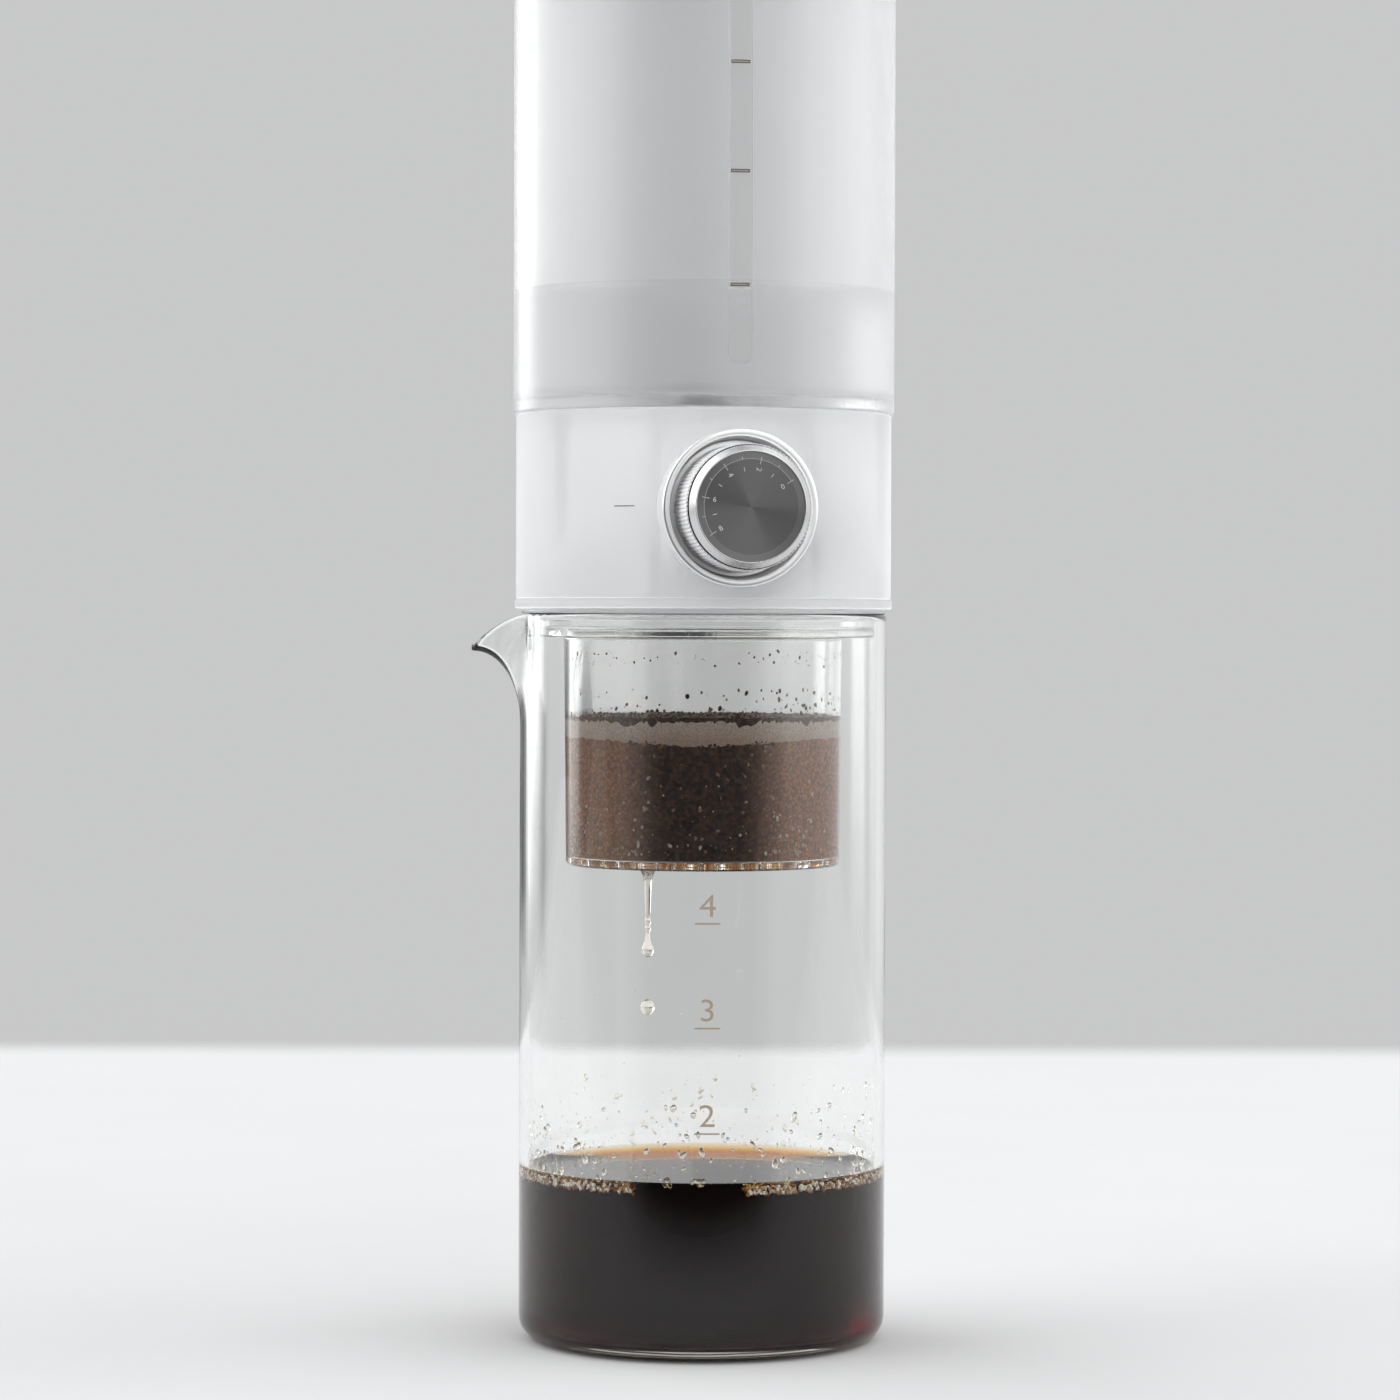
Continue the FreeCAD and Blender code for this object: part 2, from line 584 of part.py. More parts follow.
def make_valve_body():
    stem = cylinder(STEM_RADIUS, VALVE_FLANGE_TOP, TANK_FLOOR_TOP + STEM_ABOVE_FLOOR)
    flange = cylinder(VALVE_FLANGE_RADIUS, VALVE_FLANGE_TOP - VALVE_FLANGE_THICKNESS, VALVE_FLANGE_TOP)
    column = cylinder(COLUMN_RADIUS, KNOB_HEIGHT, VALVE_FLANGE_TOP)
    barrel = on_knob_axis(cylinder(BARREL_RADIUS, -BARREL_BACK, BARREL_FRONT))
    nose = on_knob_axis(cylinder(NOSE_RADIUS, BARREL_FRONT, NOSE_FRONT))
    outlet = cylinder(OUTLET_RADIUS, OUTLET_LOW, KNOB_HEIGHT)
    bore = on_knob_axis(cylinder(BORE_RADIUS, BORE_BACK, NOSE_FRONT + OVERRUN))
    ports = cylinder(PORT_RADIUS, OUTLET_LOW - OVERRUN, TANK_FLOOR_TOP + STEM_ABOVE_FLOOR + OVERRUN)
    socket = cylinder(NOZZLE_SHANK_RADIUS + THREAD_CLEARANCE, OUTLET_LOW - OVERRUN,
                      OUTLET_LOW + NOZZLE_SHANK_LENGTH)
    return stem.fuse([flange, column, barrel, nose, outlet]).cut([bore, ports, socket]).removeSplitter()


def make_drip_nozzle():
    flange_low = OUTLET_LOW - NOZZLE_FLANGE_THICKNESS
    shank_top = OUTLET_LOW + NOZZLE_SHANK_LENGTH
    return turned([
        (NOZZLE_BORE, NOZZLE_TIP, 0),
        (NOZZLE_TIP_RADIUS, NOZZLE_TIP, 0),
        (NOZZLE_CONE_RADIUS, flange_low, 0),
        (NOZZLE_FLANGE_RADIUS, flange_low, NOZZLE_ROUND),
        (NOZZLE_FLANGE_RADIUS, OUTLET_LOW, 0),
        (NOZZLE_SHANK_RADIUS, OUTLET_LOW, 0),
        (NOZZLE_SHANK_RADIUS, shank_top, 0),
        (NOZZLE_BORE, shank_top, 0),
    ])


def make_gland_nut():
    barrel_radius = BORE_RADIUS - THREAD_CLEARANCE
    bore = SPINDLE_RADIUS + RUNNING_CLEARANCE
    back = PLUG_FRONT + LUG_LENGTH + GLAND_END_GAP
    barrel = tube(barrel_radius, bore, back, NOSE_FRONT)
    head = hexagon(GLAND_HEAD_FLATS, NOSE_FRONT, GLAND_FRONT)
    head = head.cut(cylinder(bore, NOSE_FRONT - OVERRUN, GLAND_FRONT + OVERRUN))
    sweep = KNOB_TURN_BACK + KNOB_TURN_ON + 2 * (LUG_HALF_ANGLE + STOP_GAP_ANGLE)
    stop = turned([
        (bore, PLUG_FRONT + GLAND_END_GAP, 0),
        (barrel_radius, PLUG_FRONT + GLAND_END_GAP, 0),
        (barrel_radius, back, 0),
        (bore, back, 0),
    ], 360.0 - sweep)
    stop.rotate(Vector(0, 0, 0), Vector(0, 0, 1), 90 + KNOB_TURN_ON + LUG_HALF_ANGLE + STOP_GAP_ANGLE)
    return on_knob_axis(barrel.fuse([head, stop]).removeSplitter())


def make_escutcheon():
    hole = NOSE_RADIUS + PANEL_HOLE_CLEARANCE
    dish = on_knob_axis(turned([
        (hole, WELL_FACE, 0),
        (ESCUTCHEON_TOP_RADIUS + ESCUTCHEON_FLARE, WELL_FACE, 0),
        (ESCUTCHEON_TOP_RADIUS, ESCUTCHEON_TOP, ESCUTCHEON_ROUND),
        (ESCUTCHEON_MOUTH_RADIUS, ESCUTCHEON_TOP, ESCUTCHEON_ROUND),
        (ESCUTCHEON_CUP_RADIUS, ESCUTCHEON_FACE, ESCUTCHEON_FLOOR_ROUND),
        (hole, ESCUTCHEON_FACE, 0),
    ]))
    cup_radius = WELL_RADIUS - ESCUTCHEON_CLEARANCE
    kept = on_knob_axis(cylinder(cup_radius, WELL_FACE - OVERRUN, ESCUTCHEON_TOP + OVERRUN))
    housing = cylinder(COLLAR_RADIUS, COLLAR_LOW, COLLAR_TOP).cut(kept)
    return dish.cut(housing).removeSplitter()


def make_panel_nut():
    nut = hexagon(PANEL_NUT_FLATS, ESCUTCHEON_FACE, ESCUTCHEON_FACE + PANEL_NUT_THICKNESS)
    return on_knob_axis(nut.cut(cylinder(NOSE_RADIUS + THREAD_CLEARANCE, ESCUTCHEON_FACE - OVERRUN,
                                         ESCUTCHEON_FACE + PANEL_NUT_THICKNESS + OVERRUN)))


def oring_stations():
    """Middle of each O-ring groove along the spindle."""
    return [ORING_FIRST + ORING_STEP * i for i in range(ORING_COUNT)]


def make_valve_spindle():
    plug_radius = BORE_RADIUS - RUNNING_CLEARANCE
    plug = cylinder(plug_radius, PLUG_BACK, PLUG_FRONT)
    shaft = cylinder(SPINDLE_RADIUS, PLUG_FRONT, SHAFT_FRONT)
    lug = turned([
        (SPINDLE_RADIUS / 2, PLUG_FRONT, 0),
        (LUG_RADIUS, PLUG_FRONT, 0),
        (LUG_RADIUS, PLUG_FRONT + LUG_LENGTH, 0),
        (SPINDLE_RADIUS / 2, PLUG_FRONT + LUG_LENGTH, 0),
    ], 2 * LUG_HALF_ANGLE)
    lug.rotate(Vector(0, 0, 0), Vector(0, 0, 1), 90 - LUG_HALF_ANGLE)
    meter_low = -METER_WIDTH / 2
    meter_high = METER_WIDTH / 2
    meter = cylinder(plug_radius + OVERRUN, meter_low, meter_high)
    meter = meter.cut(cylinder(plug_radius - METER_DEPTH / 2, meter_low - OVERRUN, meter_high + OVERRUN,
                               METER_DEPTH / 2))
    grooves = [tube(plug_radius + OVERRUN, ORING_GROOVE_RADIUS, station - ORING_GROOVE_WIDTH / 2,
                    station + ORING_GROOVE_WIDTH / 2) for station in oring_stations()]
    flat = Part.makeBox(2 * SPINDLE_RADIUS, SPINDLE_RADIUS, SHAFT_FRONT - CORE_BACK + OVERRUN,
                        Vector(-SPINDLE_RADIUS, SHAFT_FLAT, CORE_BACK))
    return on_knob_axis(plug.fuse([shaft, lug]).cut([meter, flat] + grooves).removeSplitter())


def make_spindle_orings():
    thickness = (BORE_RADIUS - ORING_CLEARANCE - ORING_GROOVE_RADIUS) / 2
    rings = [Part.makeTorus(ORING_GROOVE_RADIUS + thickness, thickness, Vector(0, 0, station))
             for station in oring_stations()]
    return on_knob_axis(Part.makeCompound(rings))


def make_knob_core():
    core = cylinder(KNOB_BORE - CORE_CLEARANCE, CORE_BACK, CORE_FRONT)
    bore = cylinder(SPINDLE_RADIUS + CORE_CLEARANCE, CORE_BACK - OVERRUN, SHAFT_FRONT + CORE_CLEARANCE)
    key = Part.makeBox(2 * SPINDLE_RADIUS, SPINDLE_RADIUS, SHAFT_FRONT - CORE_BACK + 2 * OVERRUN,
                       Vector(-SPINDLE_RADIUS, SHAFT_FLAT + CORE_CLEARANCE, CORE_BACK - OVERRUN))
    return on_knob_axis(core.cut(bore.cut(key)))


def knurled_prism(low, high):
    """A prism with a straight knurl all round."""
    points = []
    for i in range(2 * KNURL_COUNT):
        angle = math.pi * i / KNURL_COUNT
        radius = KNOB_RADIUS - KNURL_DEPTH * (i % 2)
        points.append(Vector(radius * math.cos(angle), radius * math.sin(angle), low))
    face = Part.Face(Part.makePolygon(points + points[:1]))
    return face.extrude(Vector(0, 0, high - low))


def make_knob_shell():
    bezel_low = KNOB_FACE - BEZEL_LENGTH
    groove_low = bezel_low - BEZEL_GROOVE_WIDTH
    grip = knurled_prism(KNOB_BACK, groove_low)
    neck = cylinder(BEZEL_RADIUS - BEZEL_GROOVE_DEPTH, groove_low, bezel_low)
    bezel = turned([
        (0, bezel_low, 0),
        (BEZEL_RADIUS, bezel_low, BEZEL_ROUND),
        (BEZEL_RADIUS - BEZEL_WIDTH, KNOB_FACE, BEZEL_ROUND),
        (0, KNOB_FACE, 0),
    ])
    hollow = cylinder(KNOB_BORE, KNOB_BACK - OVERRUN, CORE_FRONT)
    seat = cylinder(DIAL_RADIUS + DIAL_CLEARANCE, DIAL_SEAT, KNOB_FACE + OVERRUN)
    return on_knob_axis(grip.fuse([neck, bezel]).cut([hollow, seat]).removeSplitter())


def make_knob_dial():
    return on_knob_axis(cylinder(DIAL_RADIUS, DIAL_SEAT, DIAL_SEAT + DIAL_THICKNESS))


def make_lid():
    top = TANK_RIM + LID_THICKNESS
    skirt_radius = TANK_BORE - LID_SKIRT_CLEARANCE
    skirt_bore = skirt_radius - LID_SKIRT_WALL
    dish_radius = TANK_RADIUS - LID_DISH_MARGIN
    lid = turned([
        (VENT_RADIUS, TANK_RIM, 0),
        (skirt_bore, TANK_RIM, LID_CEILING_ROUND),
        (skirt_bore, TANK_RIM - LID_SKIRT_DEPTH, LID_SKIRT_ROUND),
        (skirt_radius, TANK_RIM - LID_SKIRT_DEPTH, LID_SKIRT_ROUND),
        (skirt_radius, TANK_RIM, 0),
        (TANK_RADIUS, TANK_RIM, LID_EDGE_ROUND),
        (TANK_RADIUS, top, LID_ROUND),
        (dish_radius, top, LID_DISH_ROUND),
        (dish_radius - LID_DISH_DEPTH, top - LID_DISH_DEPTH, LID_DISH_ROUND),
        (VENT_RADIUS, top - LID_DISH_DEPTH, VENT_ROUND),
    ])
    middle = TANK_RIM - LID_SEAL_BELOW_RIM
    thickness = lid_seal_thickness()
    groove = tube(skirt_radius + OVERRUN, lid_groove_radius(), middle - thickness, middle + thickness)
    return lid.cut(groove)


def lid_groove_radius():
    """Bottom of the seal groove in the lid's skirt."""
    return TANK_BORE - LID_SKIRT_CLEARANCE - LID_SEAL_GROOVE_DEPTH


def lid_seal_thickness():
    """Half the thickness of the round lid seal, which reaches from its groove to the tank's wall."""
    return (TANK_BORE - LID_SEAL_CLEARANCE - lid_groove_radius()) / 2


def make_lid_seal():
    thickness = lid_seal_thickness()
    return Part.makeTorus(lid_groove_radius() + thickness, thickness,
                          Vector(0, 0, TANK_RIM - LID_SEAL_BELOW_RIM))


PIECES = {
    "carafe": make_carafe,
    "container_gasket": make_container_gasket,
    "coffee_container": make_coffee_container,
    "filter_disc": make_filter_disc,
    "filter_rim": make_filter_rim,
    "distributor_plate": make_distributor_plate,
    "base_collar": make_base_collar,
    "bottom_cover": make_bottom_cover,
    "cover_screws": make_cover_screws,
    "tank_vessel": make_tank_vessel,
    "tank_seal": make_tank_seal,
    "inlet_nut": make_inlet_nut,
    "inlet_strainer": make_inlet_strainer,
    "valve_body": make_valve_body,
    "drip_nozzle": make_drip_nozzle,
    "gland_nut": make_gland_nut,
    "escutcheon": make_escutcheon,
    "panel_nut": make_panel_nut,
    "valve_spindle": make_valve_spindle,
    "spindle_orings": make_spindle_orings,
    "knob_core": make_knob_core,
    "knob_shell": make_knob_shell,
    "knob_dial": make_knob_dial,
    "lid": make_lid,
    "lid_seal": make_lid_seal,
}

for name, make in PIECES.items():
    shape = make()
    shape.exportStep("parts/" + name + ".step")
    box = shape.optimalBoundingBox()
    print(f"{name:20s} solids {len(shape.Solids)} valid {shape.isValid()} volume {shape.Volume:10.1f} "
          f"z {box.ZMin:7.2f} {box.ZMax:7.2f} x {box.XMin:7.2f} {box.XMax:7.2f}")
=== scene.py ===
import json
import math

import bmesh
import bpy
from mathutils import Matrix, Vector
from mathutils import noise as mesh_noise


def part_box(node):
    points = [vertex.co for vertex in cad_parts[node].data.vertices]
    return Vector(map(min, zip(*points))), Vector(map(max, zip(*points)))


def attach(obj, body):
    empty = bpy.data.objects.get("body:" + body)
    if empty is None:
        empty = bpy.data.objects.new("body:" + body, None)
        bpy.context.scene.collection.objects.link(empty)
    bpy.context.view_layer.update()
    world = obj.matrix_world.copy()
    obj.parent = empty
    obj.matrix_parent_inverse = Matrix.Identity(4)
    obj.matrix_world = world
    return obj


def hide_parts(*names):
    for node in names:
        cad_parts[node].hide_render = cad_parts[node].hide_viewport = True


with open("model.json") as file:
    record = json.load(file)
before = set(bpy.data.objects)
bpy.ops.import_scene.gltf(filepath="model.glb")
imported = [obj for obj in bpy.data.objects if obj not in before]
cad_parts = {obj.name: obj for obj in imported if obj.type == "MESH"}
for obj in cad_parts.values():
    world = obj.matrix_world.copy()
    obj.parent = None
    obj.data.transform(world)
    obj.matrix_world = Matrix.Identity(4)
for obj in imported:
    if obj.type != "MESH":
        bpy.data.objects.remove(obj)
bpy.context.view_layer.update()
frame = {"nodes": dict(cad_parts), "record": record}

MM = 0.001
FULL_TURN = 2 * math.pi


def low(node):
    """Lowest corner of a CAD node."""
    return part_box(node)[0]


def high(node):
    """Highest corner of a CAD node."""
    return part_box(node)[1]


# Places and sizes read from the frame, in metres
CARAFE_RADIUS = high("carafe").x
CARAFE_TOP = high("carafe").z
LIP_REACH = -low("carafe").x
FLANGE_RADIUS = high("coffee_container").x
CONTAINER_LOW = low("coffee_container").z
CONTAINER_TOP = high("coffee_container").z
CONTAINER_FLOOR = low("filter_rim").z
FILTER_TOP = high("filter_rim").z
PLATE_LOW = low("distributor_plate").z
COLLAR_RADIUS = high("base_collar").x
COLLAR_LOW = low("base_collar").z
COLLAR_TOP = high("base_collar").z
TANK_RADIUS = high("tank_vessel").x
TANK_RIM = high("tank_vessel").z
TANK_FLOOR = low("inlet_strainer").z
TANK_SPIGOT_LOW = low("tank_vessel").z
FILM_TOP = low("filter_disc").z
KNOB_JOINT = next(j for j in frame["record"]["behaviour"]["joints"] if j["name"] == "knob_turn")
KNOB_AXIS = Vector(KNOB_JOINT["axis"])
KNOB_HEIGHT = KNOB_JOINT["pos_m"][2]
KNOB_TURN = math.atan2(KNOB_AXIS.x, -KNOB_AXIS.y)
KNOB_FRAME = (Matrix.Translation((0, 0, KNOB_HEIGHT)) @ Matrix.Rotation(KNOB_TURN, 4, "Z")
              @ Matrix.Rotation(math.pi / 2, 4, "X"))
FRONT = -math.pi / 2

# Carafe
CARAFE_WALL = 2.4 * MM
CARAFE_FLOOR = 3.6 * MM
CARAFE_BORE = CARAFE_RADIUS - CARAFE_WALL
CARAFE_CORNER = 6.0 * MM
CARAFE_INNER_CORNER = 4.5 * MM
CARAFE_PUNT = 0.4 * MM
RIM_RISE = 0.8 * MM
RIM_STEPS = 8
LIP_START = 154.0 * MM
LIP_DROP = 8.6 * MM
LIP_SPREAD = 13.8 * MM
LIP_BLUNTNESS = 2.2 * MM
LIP_THINNING = 0.5 * MM
LIP_HALF_ANGLE = math.radians(24)
LIP_PITCH = math.radians(0.45)
WALL_PITCH = math.radians(1.5)
CUP_MARKS = (("4", 106.5 * MM), ("3", 81.3 * MM), ("2", 55.9 * MM))
CUP_MARK_TURN = math.radians(1.6)
MARK_LINE = (6.1 * MM, 0.42 * MM)
NUMBER_HEIGHT = 5.3 * MM
NUMBER_RISE = 1.7 * MM

# Coffee container
SKIRT_RADIUS = 42.7 * MM
SKIRT_BORE = 40.7 * MM
SKIRT_LOW = 175.2 * MM
SHOULDER_TOP = 177.2 * MM
FLANGE_LOW = 182.3 * MM
BODY_TOP_RADIUS = 34.75 * MM
BODY_LOW_RADIUS = 34.15 * MM
BODY_WALL = 1.8 * MM
PLATE_SEAT_RADIUS = 34.2 * MM
DRAIN_RADIUS = 2.4 * MM
DRAIN_RINGS = ((15.0 * MM, 8), (25.0 * MM, 16))
DRAIN_PHASE = math.radians(25.7)
FILTER_FRAME_BORE = 32.08 * MM
FILM_RADIUS = 29.4 * MM

# Tank, its gauge and the collar's index line
TANK_LOW = COLLAR_TOP
TANK_BORE = TANK_RADIUS - 2.5 * MM
TANK_SPIGOT_RADIUS = 44.1 * MM
TANK_SPIGOT_BORE = 42.1 * MM
TANK_HOLE = 6.3 * MM
TANK_INNER_CORNER = 3.0 * MM
STRAINER_BAY = (12.0 * MM, 3.2 * MM)
FROST_DEPTHS = (1.6 * MM, 1.0 * MM)
STRIP_HALF_WIDTH = 2.9 * MM
STRIP_LOW = 241.0 * MM
STRIP_EDGE = 0.05 * MM
GAUGE_MARKS = (259.9 * MM, 287.1 * MM, 313.2 * MM, 340.0 * MM)
GAUGE_MARK = (4.6 * MM, 0.8 * MM)
GAUGE_LINE = 0.2 * MM
GAUGE_SHIFT = 0.4 * MM
INDEX_LINE = (5.3 * MM, 0.26 * MM)
INDEX_TURN = math.radians(-24.1)
INDEX_RISE = 0.5 * MM

# Knob and ring, with stations along the knob's axis measured from the object's axis
WELL_RADIUS = 17.6 * MM
WELL_FACE = 40.6 * MM
RING_HOLE = 7.1 * MM
RING_FOOT_RADIUS = 19.85 * MM
RING_CREST_RADII = (19.05 * MM, 17.2 * MM)
RING_DISH_RADIUS = 16.6 * MM
RING_FACE = 41.9 * MM
RING_TOP = 47.4 * MM
KNOB_BACK = 42.3 * MM
KNOB_RADIUS = 15.3 * MM
KNOB_BORE = 12.6 * MM
KNOB_FACE = 60.1 * MM
GROOVE_RADIUS = 14.4 * MM
GROOVE_LOW = 57.4 * MM
BEZEL_LOW = 57.9 * MM
BEZEL_RADII = (15.0 * MM, 13.4 * MM, 13.15 * MM)
CORE_FRONT = 57.2 * MM
DIAL_RADIUS = 13.1 * MM
DIAL_LOW = 59.1 * MM
DIAL_TOP = 59.9 * MM
DIAL_EDGE_SHARE = 0.87
DIAL_STEPS = 9
DIAL_FIRST = math.radians(32.4)
DIAL_STEP = math.radians(22.8)
NUMBER_RING = 9.0 * MM
SCALE_RING = 11.4 * MM
KNURL_RIDGES = 96
KNURL_DEPTH = 0.3 * MM
KNURL_HALF_WIDTH = 0.42 * MM

# Contents
COFFEE_LEVEL = 41.7 * MM
WATER_LEVEL = 259.0 * MM
MENISCUS = 2.1 * MM
MENISCUS_REACH = 2.4 * MM
BED_TOP = 150.4 * MM
BED_DIP = 1.6 * MM
BED_DIP_ANGLE = math.radians(62)
CRUST_LOW = 154.85 * MM
CRUST_TOP = 155.7 * MM
PRESSED = 0.04 * MM
DRIP_DRAIN = 5
DRIP_PROFILE = (
    (0, 118.38), (2.7, 118.38), (2.55, 118.1), (1.95, 117.2), (1.45, 116.3), (1.12, 115.4), (0.95, 114.2),
    (0.86, 112.4), (0.78, 109.6), (0.7, 107.0), (0.64, 105.6), (0.72, 105.0), (0.82, 104.4), (0.7, 103.9),
    (0.55, 103.6), (0.7, 103.2), (0.8, 102.7), (0.68, 102.3), (0.5, 102.0), (0.58, 101.5), (0.62, 101.1),
    (0.66, 100.6), (0.86, 99.7), (1.2, 98.7), (1.48, 97.9), (1.55, 97.2), (1.4, 96.5), (1.0, 96.0),
    (0.5, 95.75), (0, 95.7),
)
DROP_HEIGHT = 83.2 * MM
DROP_RADII = (1.75 * MM, 2.0 * MM)
DROP_STEPS = 14

# The photo is 1400 pixels square, and this camera sees the object as it does
SENSOR = 36.0
LENS = 118.29
CAMERA_PLACE = Vector((0.0, -1.15, 0.1795))
CAMERA_PITCH = math.radians(0.996)
CAMERA_YAW = math.radians(0.037)
CAMERA_ROLL = math.radians(0.18)

# The table fades out towards its ends, and sooner in front for what mirrors it
TABLE_HEIGHT = -0.02 * MM
TABLE_FRONT = (-1.6, -0.7)
MIRRORED_FRONT = (-0.36, -0.13)
TABLE_BACK = (0.73, 0.81)
TABLE_HALF_WIDTH = 4.0

# Light by direction: the sides of a window or flag are its azimuths from +Y towards +X and its elevations,
# all in degrees, followed by its softness and its strength or share
WALL_LEVEL = 0.58
ROOM_LEVEL = 0.06
ROOM_EDGE = (150, 122)
CEILING_LEVEL = 0.55
CEILING_EDGE = (20, 70)
GROUND_LEVEL = 0.80
GROUND_EDGE = (-6.5, -9)
GLOSSY_GROUND = 0.1
SEEN_LEVEL = 0.86
DAYLIGHT = (0.995, 0.998, 1.0)
WINDOWS = (
    ((-56, -33, -2, 13), 3, 3.2),
    ((-128, -30, 3, 60), 4, 1.2),
    ((14, 64, -5, 60), 4, 0.25),
    ((64, 128, -1, 60), 4, 1.2),
    ((134, 174, 1, 60), 1.2, 1.3),
)
FLAGS = (
    ((-27, -9, -3.9, -0.6), 1, 0.8),
    ((-124, -62, -7, -0.4), 1.2, 0.4),
)

# Meshes and prints
ROUND_STEPS = 6
SUPPORT = 0.35 * MM
SEGMENTS = 224
FINE_SEGMENTS = 256
INK = 0.04 * MM
INK_RISE = 0.4 * INK
PRINT_PITCH = 0.5 * MM


# Node trees

FLOAT = "NodeSocketFloat"
VECTOR = "NodeSocketVector"
COLOUR = "NodeSocketColor"


class Flow:
    """A value in a node tree. Sums, products and comparisons of it become maths nodes."""

    def __init__(self, socket):
        self.socket = socket
        self.tree = socket.id_data

    def __add__(self, other):
        return maths("ADD", self, other)

    def __sub__(self, other):
        return maths("SUBTRACT", self, other)

    def __rsub__(self, other):
        return maths("SUBTRACT", other, self)

    def __mul__(self, other):
        return maths("MULTIPLY", self, other)

    def __truediv__(self, other):
        return maths("DIVIDE", self, other)

    def __rtruediv__(self, other):
        return maths("DIVIDE", other, self)

    def __pow__(self, other):
        return maths("POWER", self, other)

    def __lt__(self, other):
        return maths("LESS_THAN", self, other)

    def __gt__(self, other):
        return maths("GREATER_THAN", self, other)


def feed(socket, value):
    """Links a value of the tree to an input, or sets the input to a plain value."""
    if isinstance(value, Flow):
        value = value.socket
    if isinstance(value, bpy.types.NodeSocket):
        socket.id_data.links.new(value, socket)
    else:
        socket.default_value = value


def feed_all(sockets, *values):
    """Feeds the first inputs of a node in their order."""
    for socket, value in zip(sockets, values):
        feed(socket, value)


def maths(operation, *values, clamp=False):
    """The result of a maths node on values, one or more of them from a tree."""
    tree = next(value.tree for value in values if isinstance(value, Flow))
    node = tree.nodes.new("ShaderNodeMath")
    node.operation = operation
    node.use_clamp = clamp
    feed_all(node.inputs, *values)
    return Flow(node.outputs[0])


def add(tree, kind, settings=None, **inputs):
    """Adds a node of a kind, with its settings and its inputs by name."""
    node = tree.nodes.new(kind)
    for key, value in (settings or {}).items():
        setattr(node, key, value)
    for name, value in inputs.items():
        feed(node.inputs[name.replace("_", " ")], value)
    return node


def flow(tree, kind, output=0, settings=None, **inputs):
    """One output of a new node."""
    return Flow(add(tree, kind, settings, **inputs).outputs[output])


def step(value, start, end):
    """A smooth step from 0 to 1 as a value goes from start to end."""
    return flow(value.tree, "ShaderNodeMapRange", "Result", {"interpolation_type": "SMOOTHSTEP"},
                Value=value, From_Min=start, From_Max=end)


def blend(factor, first, second):
    """Two colours mixed by a factor."""
    node = add(factor.tree, "ShaderNodeMix", {"data_type": "RGBA"})
    feed_all([node.inputs[i] for i in (0, 6, 7)], factor, first, second)
    return Flow(node.outputs[2])


def noise(vector, scale, detail=2.0, roughness=0.5):
    """Noise between 0 and 1 at a scale in cycles per metre."""
    return flow(vector.tree, "ShaderNodeTexNoise", "Fac", Vector=vector, Scale=scale, Detail=detail,
                Roughness=roughness)


def xyz(vector):
    """The three parts of a vector."""
    return [Flow(socket) for socket in add(vector.tree, "ShaderNodeSeparateXYZ", Vector=vector).outputs]


def distance(across, along):
    """How far a place in a plane is from the origin."""
    return maths("SQRT", across * across + along * along)


def grey(level):
    """A neutral colour."""
    return (level, level, level, 1)


def new_group(name, inputs, outputs):
    """A shader node group, the values that come into it and the sockets that they leave by."""
    tree = bpy.data.node_groups.new(name, "ShaderNodeTree")
    for label, kind, value in inputs:
        socket = tree.interface.new_socket(label, in_out="INPUT", socket_type=kind)
        if value is not None:
            socket.default_value = value
    for label, kind in outputs:
        tree.interface.new_socket(label, in_out="OUTPUT", socket_type=kind)
    start = tree.nodes.new("NodeGroupInput")
    end = tree.nodes.new("NodeGroupOutput")
    return tree, [Flow(start.outputs[i]) for i in range(len(inputs))], end.inputs


def smudge_group():
    """Handling marks: a roughness that wanders between two values in soft patches and faint wipes."""
    tree, (vector, clean, smudged, scale), ends = new_group(
        "handling_marks",
        [("Vector", VECTOR, None), ("Clean", FLOAT, 0.02), ("Smudged", FLOAT, 0.08), ("Scale", FLOAT, 60.0)],
        [("Roughness", FLOAT), ("Mask", FLOAT)])
    mask = step(noise(vector, scale, 4.0, 0.6), 0.45, 0.75) * step(noise(vector, scale * 9.0), 0.2, 0.7)
    feed_all(ends, mask * (smudged - clean) + clean, mask)
    return tree


def frost_group():
    """A moulded frost: fine grain as height, and a roughness that varies a little with it."""
    tree, (vector, rough, spread, scale), ends = new_group(
        "moulded_frost",
        [("Vector", VECTOR, None), ("Roughness", FLOAT, 0.4), ("Spread", FLOAT, 0.05),
         ("Scale", FLOAT, 3200.0)],
        [("Roughness", FLOAT), ("Height", FLOAT)])
    grain = noise(vector, scale, 3.0, 0.65)
    wander = grain + noise(vector, 25.0, 3.0) - 1.0
    feed_all(ends, maths("MULTIPLY_ADD", wander, spread, rough, clamp=True), grain)
    return tree


def turned_group():
    """Fine lathe lines round a centre in the local XY plane, as height and as a mask of the deeper lines."""
    tree, (vector, pitch, wander), ends = new_group(
        "turned_lines",
        [("Vector", VECTOR, None), ("Pitch", FLOAT, 0.00012), ("Wander", FLOAT, 0.3)],
        [("Height", FLOAT), ("Mask", FLOAT)])
    across, along, _ = xyz(vector)
    line = distance(across, along) / pitch + noise(vector, 300.0) * wander
    rings = flow(tree, "ShaderNodeTexNoise", "Fac", {"noise_dimensions": "1D"}, W=line, Scale=1.0,
                 Detail=3.0)
    feed_all(ends, rings, step(rings, 0.55, 0.75))
    return tree


